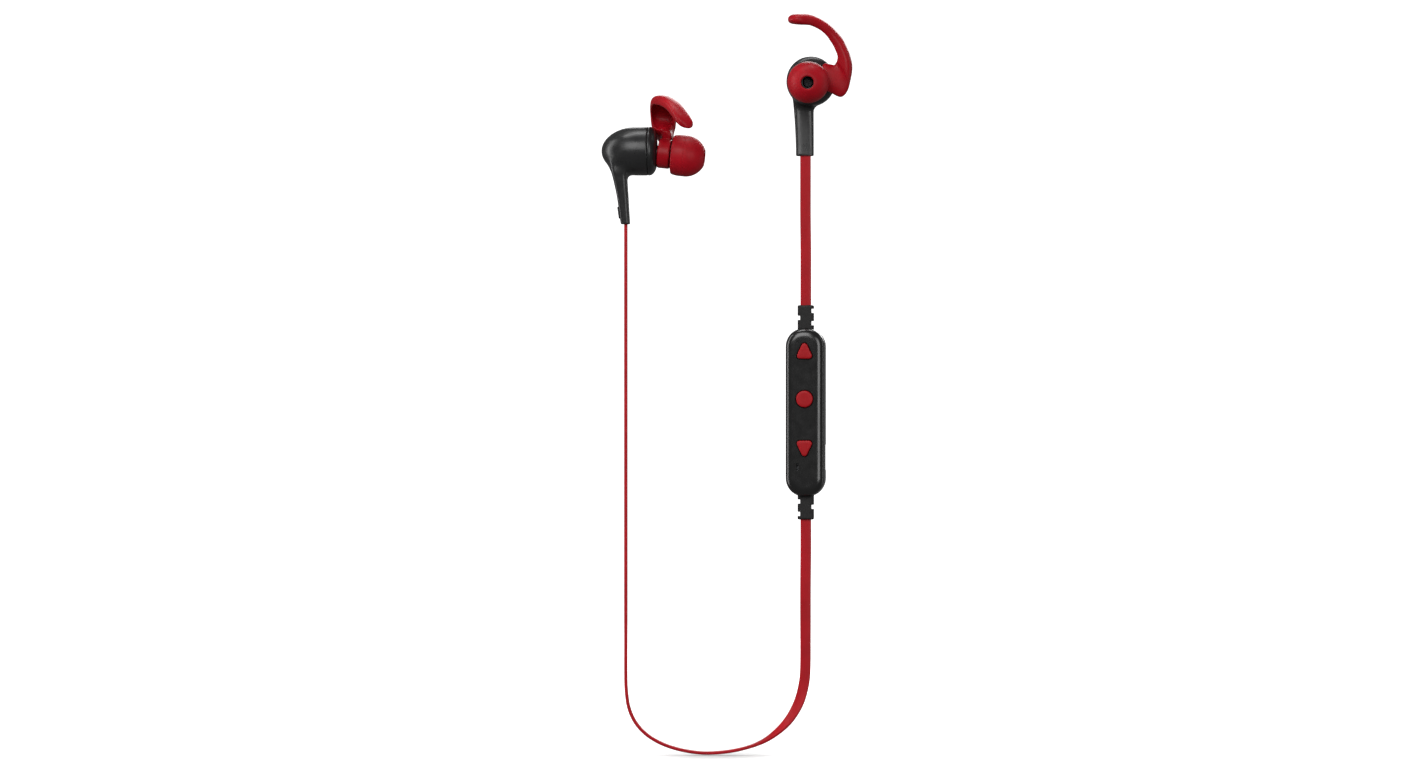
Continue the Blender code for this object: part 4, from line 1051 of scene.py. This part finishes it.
def add_reliefs():
    sleeve = surface_net("sleeve", sleeve_field, RELIEF_LOW, RELIEF_HIGH, RELIEF_STEP)
    for name, end in (("upper", 1), ("lower", -1)):
        turn = Matrix.Rotation(0 if end > 0 else math.pi, 4, "Y")
        matrix = REMOTE @ Matrix.Translation((0, 0, end * REMOTE_LENGTH / 2)) @ turn
        place(f"{name}_sleeve", sleeve.copy(), matrix, "rubber", "black_rubber",
              replaces=(f"{name}_strain_relief",))


# ---------------------------------------------------------------- nodes shown as packed

BUD_PARTS = {
    "side_marker": "rubber", "nozzle_mesh": "mesh", "driver_frame": "steel",
    "driver_magnet": "magnet", "voice_coil": "copper", "diaphragm": "film",
}
REMOTE_INSIDES = {
    "circuit_board": "board", "volume_up_switch": "steel", "multifunction_switch": "steel",
    "volume_down_switch": "steel", "battery_cell": "foil", "wireless_module": "chip",
    "microphone": "steel", "indicator_light": "lens", "charging_socket": "steel",
}


def dress_nodes():
    """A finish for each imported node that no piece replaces."""
    finishes = dict(REMOTE_INSIDES)
    for side, _, _, _ in EARBUDS:
        finishes.update({f"{side}_{part}": finish for part, finish in BUD_PARTS.items()})
    for node, finish in finishes.items():
        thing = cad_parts[node]
        thing.data.materials.clear()
        thing.data.materials.append(MATERIALS[finish])


# ---------------------------------------------------------------- stage and light

def bowl_mesh(floor):
    """A closed form whose inside is seen: a flat floor, a bend, a wall and a lid."""
    rows = [(BOWL_FLAT * i / BOWL_FLAT_STEPS, floor) for i in range(1, BOWL_FLAT_STEPS + 1)]
    for i in range(1, BOWL_BEND_STEPS + 1):
        angle = math.pi / 2 * i / BOWL_BEND_STEPS
        rows.append((BOWL_FLAT + BOWL_BEND * math.sin(angle),
                     floor + BOWL_BEND * (1 - math.cos(angle))))
    rows.append((BOWL_FLAT + BOWL_BEND, floor + BOWL_HEIGHT))
    angles = [2 * math.pi * k / BOWL_SIDES for k in range(BOWL_SIDES)]
    bm = bmesh.new()
    rings = [[bm.verts.new((r * math.cos(a), r * math.sin(a), z)) for a in angles] for r, z in rows]
    for low, high in zip(rings, rings[1:]):
        for i in range(BOWL_SIDES):
            j = (i + 1) % BOWL_SIDES
            bm.faces.new((low[i], low[j], high[j], high[i]))
    bm.faces.new(rings[0])
    bm.faces.new(rings[-1])
    bmesh.ops.recalc_face_normals(bm, faces=bm.faces)
    bmesh.ops.reverse_faces(bm, faces=bm.faces)
    mesh = bpy.data.meshes.new("bowl")
    bm.to_mesh(mesh)
    bm.free()
    mesh.shade_smooth()
    return mesh


def bowl_paper(floor):
    """White paper that glows, less so under the object, with a painted contact shadow where the loop
    comes near the floor.
    """
    material, tree, shader = shader_nodes("bowl_paper", (0.60, 0.60, 0.60), 0.9)
    tone = ramp(tree, noise(tree, PAPER_SCALE, 2.0), (0.59, 0.59, 0.59), (0.61, 0.61, 0.61))
    tree.links.new(tone, shader.inputs["Base Color"])
    shader.inputs["Emission Color"].default_value = (1.0, 1.0, 1.0, 1.0)
    coordinates = tree.nodes.new("ShaderNodeTexCoord")
    distance = tree.nodes.new("ShaderNodeVectorMath")
    distance.operation = "LENGTH"
    glow = tree.nodes.new("ShaderNodeMapRange")
    glow.inputs["From Min"].default_value = GLOW_START
    glow.inputs["From Max"].default_value = GLOW_END
    glow.inputs["To Min"].default_value = GLOW_NEAR
    glow.inputs["To Max"].default_value = GLOW_FAR
    tree.links.new(coordinates.outputs["Object"], distance.inputs[0])
    tree.links.new(distance.outputs["Value"], glow.inputs["Value"])
    # A painted contact shadow: a soft spot round where the loop meets the floor, in which the glow
    # falls to its lowest
    spot = tree.nodes.new("ShaderNodeMapping")
    spot.vector_type = "TEXTURE"
    spot.inputs["Location"].default_value = (PAINTED_SHADOW_X, CABLE_Y, floor)
    spot.inputs["Scale"].default_value = (*PAINTED_SHADOW_SPREAD, 1.0)
    from_spot = tree.nodes.new("ShaderNodeVectorMath")
    from_spot.operation = "LENGTH"
    shade = tree.nodes.new("ShaderNodeMapRange")
    shade.interpolation_type = "SMOOTHSTEP"
    shade.inputs["To Min"].default_value = PAINTED_SHADOW_GLOW
    shade.inputs["To Max"].default_value = GLOW_FAR
    darker = tree.nodes.new("ShaderNodeMath")
    darker.operation = "MINIMUM"
    tree.links.new(coordinates.outputs["Object"], spot.inputs["Vector"])
    tree.links.new(spot.outputs["Vector"], from_spot.inputs[0])
    tree.links.new(from_spot.outputs["Value"], shade.inputs["Value"])
    tree.links.new(glow.outputs["Result"], darker.inputs[0])
    tree.links.new(shade.outputs["Result"], darker.inputs[1])
    tree.links.new(darker.outputs["Value"], shader.inputs["Emission Strength"])
    return material


def add_bowl():
    """The stage. Only the camera sees it: it lights and mirrors nothing."""
    floor = min(z for _, z in LOOP_ROUTE) - RIBBON_THICKNESS / 2 - FLOOR_GAP
    bowl = bpy.data.objects.new("bowl", bowl_mesh(floor))
    scene.collection.objects.link(bowl)
    bowl.data.materials.append(bowl_paper(floor))
    bowl.visible_diffuse = False
    bowl.visible_glossy = False
    bowl.visible_transmission = False
    bowl.visible_shadow = False


def add_light(name, location, size, watts):
    data = bpy.data.lights.new(name, "AREA")
    data.shape = "RECTANGLE"
    data.size, data.size_y = size
    data.energy = watts
    light = bpy.data.objects.new(name, data)
    light.location = location
    direction = Vector(LIGHTS_TARGET) - Vector(location)
    light.rotation_euler = direction.to_track_quat("-Z", "Y").to_euler()
    scene.collection.objects.link(light)


def add_lights():
    world = bpy.data.worlds.new("studio")
    world.use_nodes = True
    background = world.node_tree.nodes["Background"]
    background.inputs["Color"].default_value = (1.0, 1.0, 1.0, 1.0)
    background.inputs["Strength"].default_value = WORLD_STRENGTH
    scene.world = world
    for name, location, size, watts in LIGHTS:
        add_light(name, location, size, watts)


scene.view_settings.view_transform = "Standard"
add_camera()
add_cables()
add_rear_shells()
add_front_caps()
add_hooks()
add_tips()
add_front_cover()
add_back_cover()
add_buttons()
add_reliefs()
dress_nodes()
add_bowl()
add_lights()
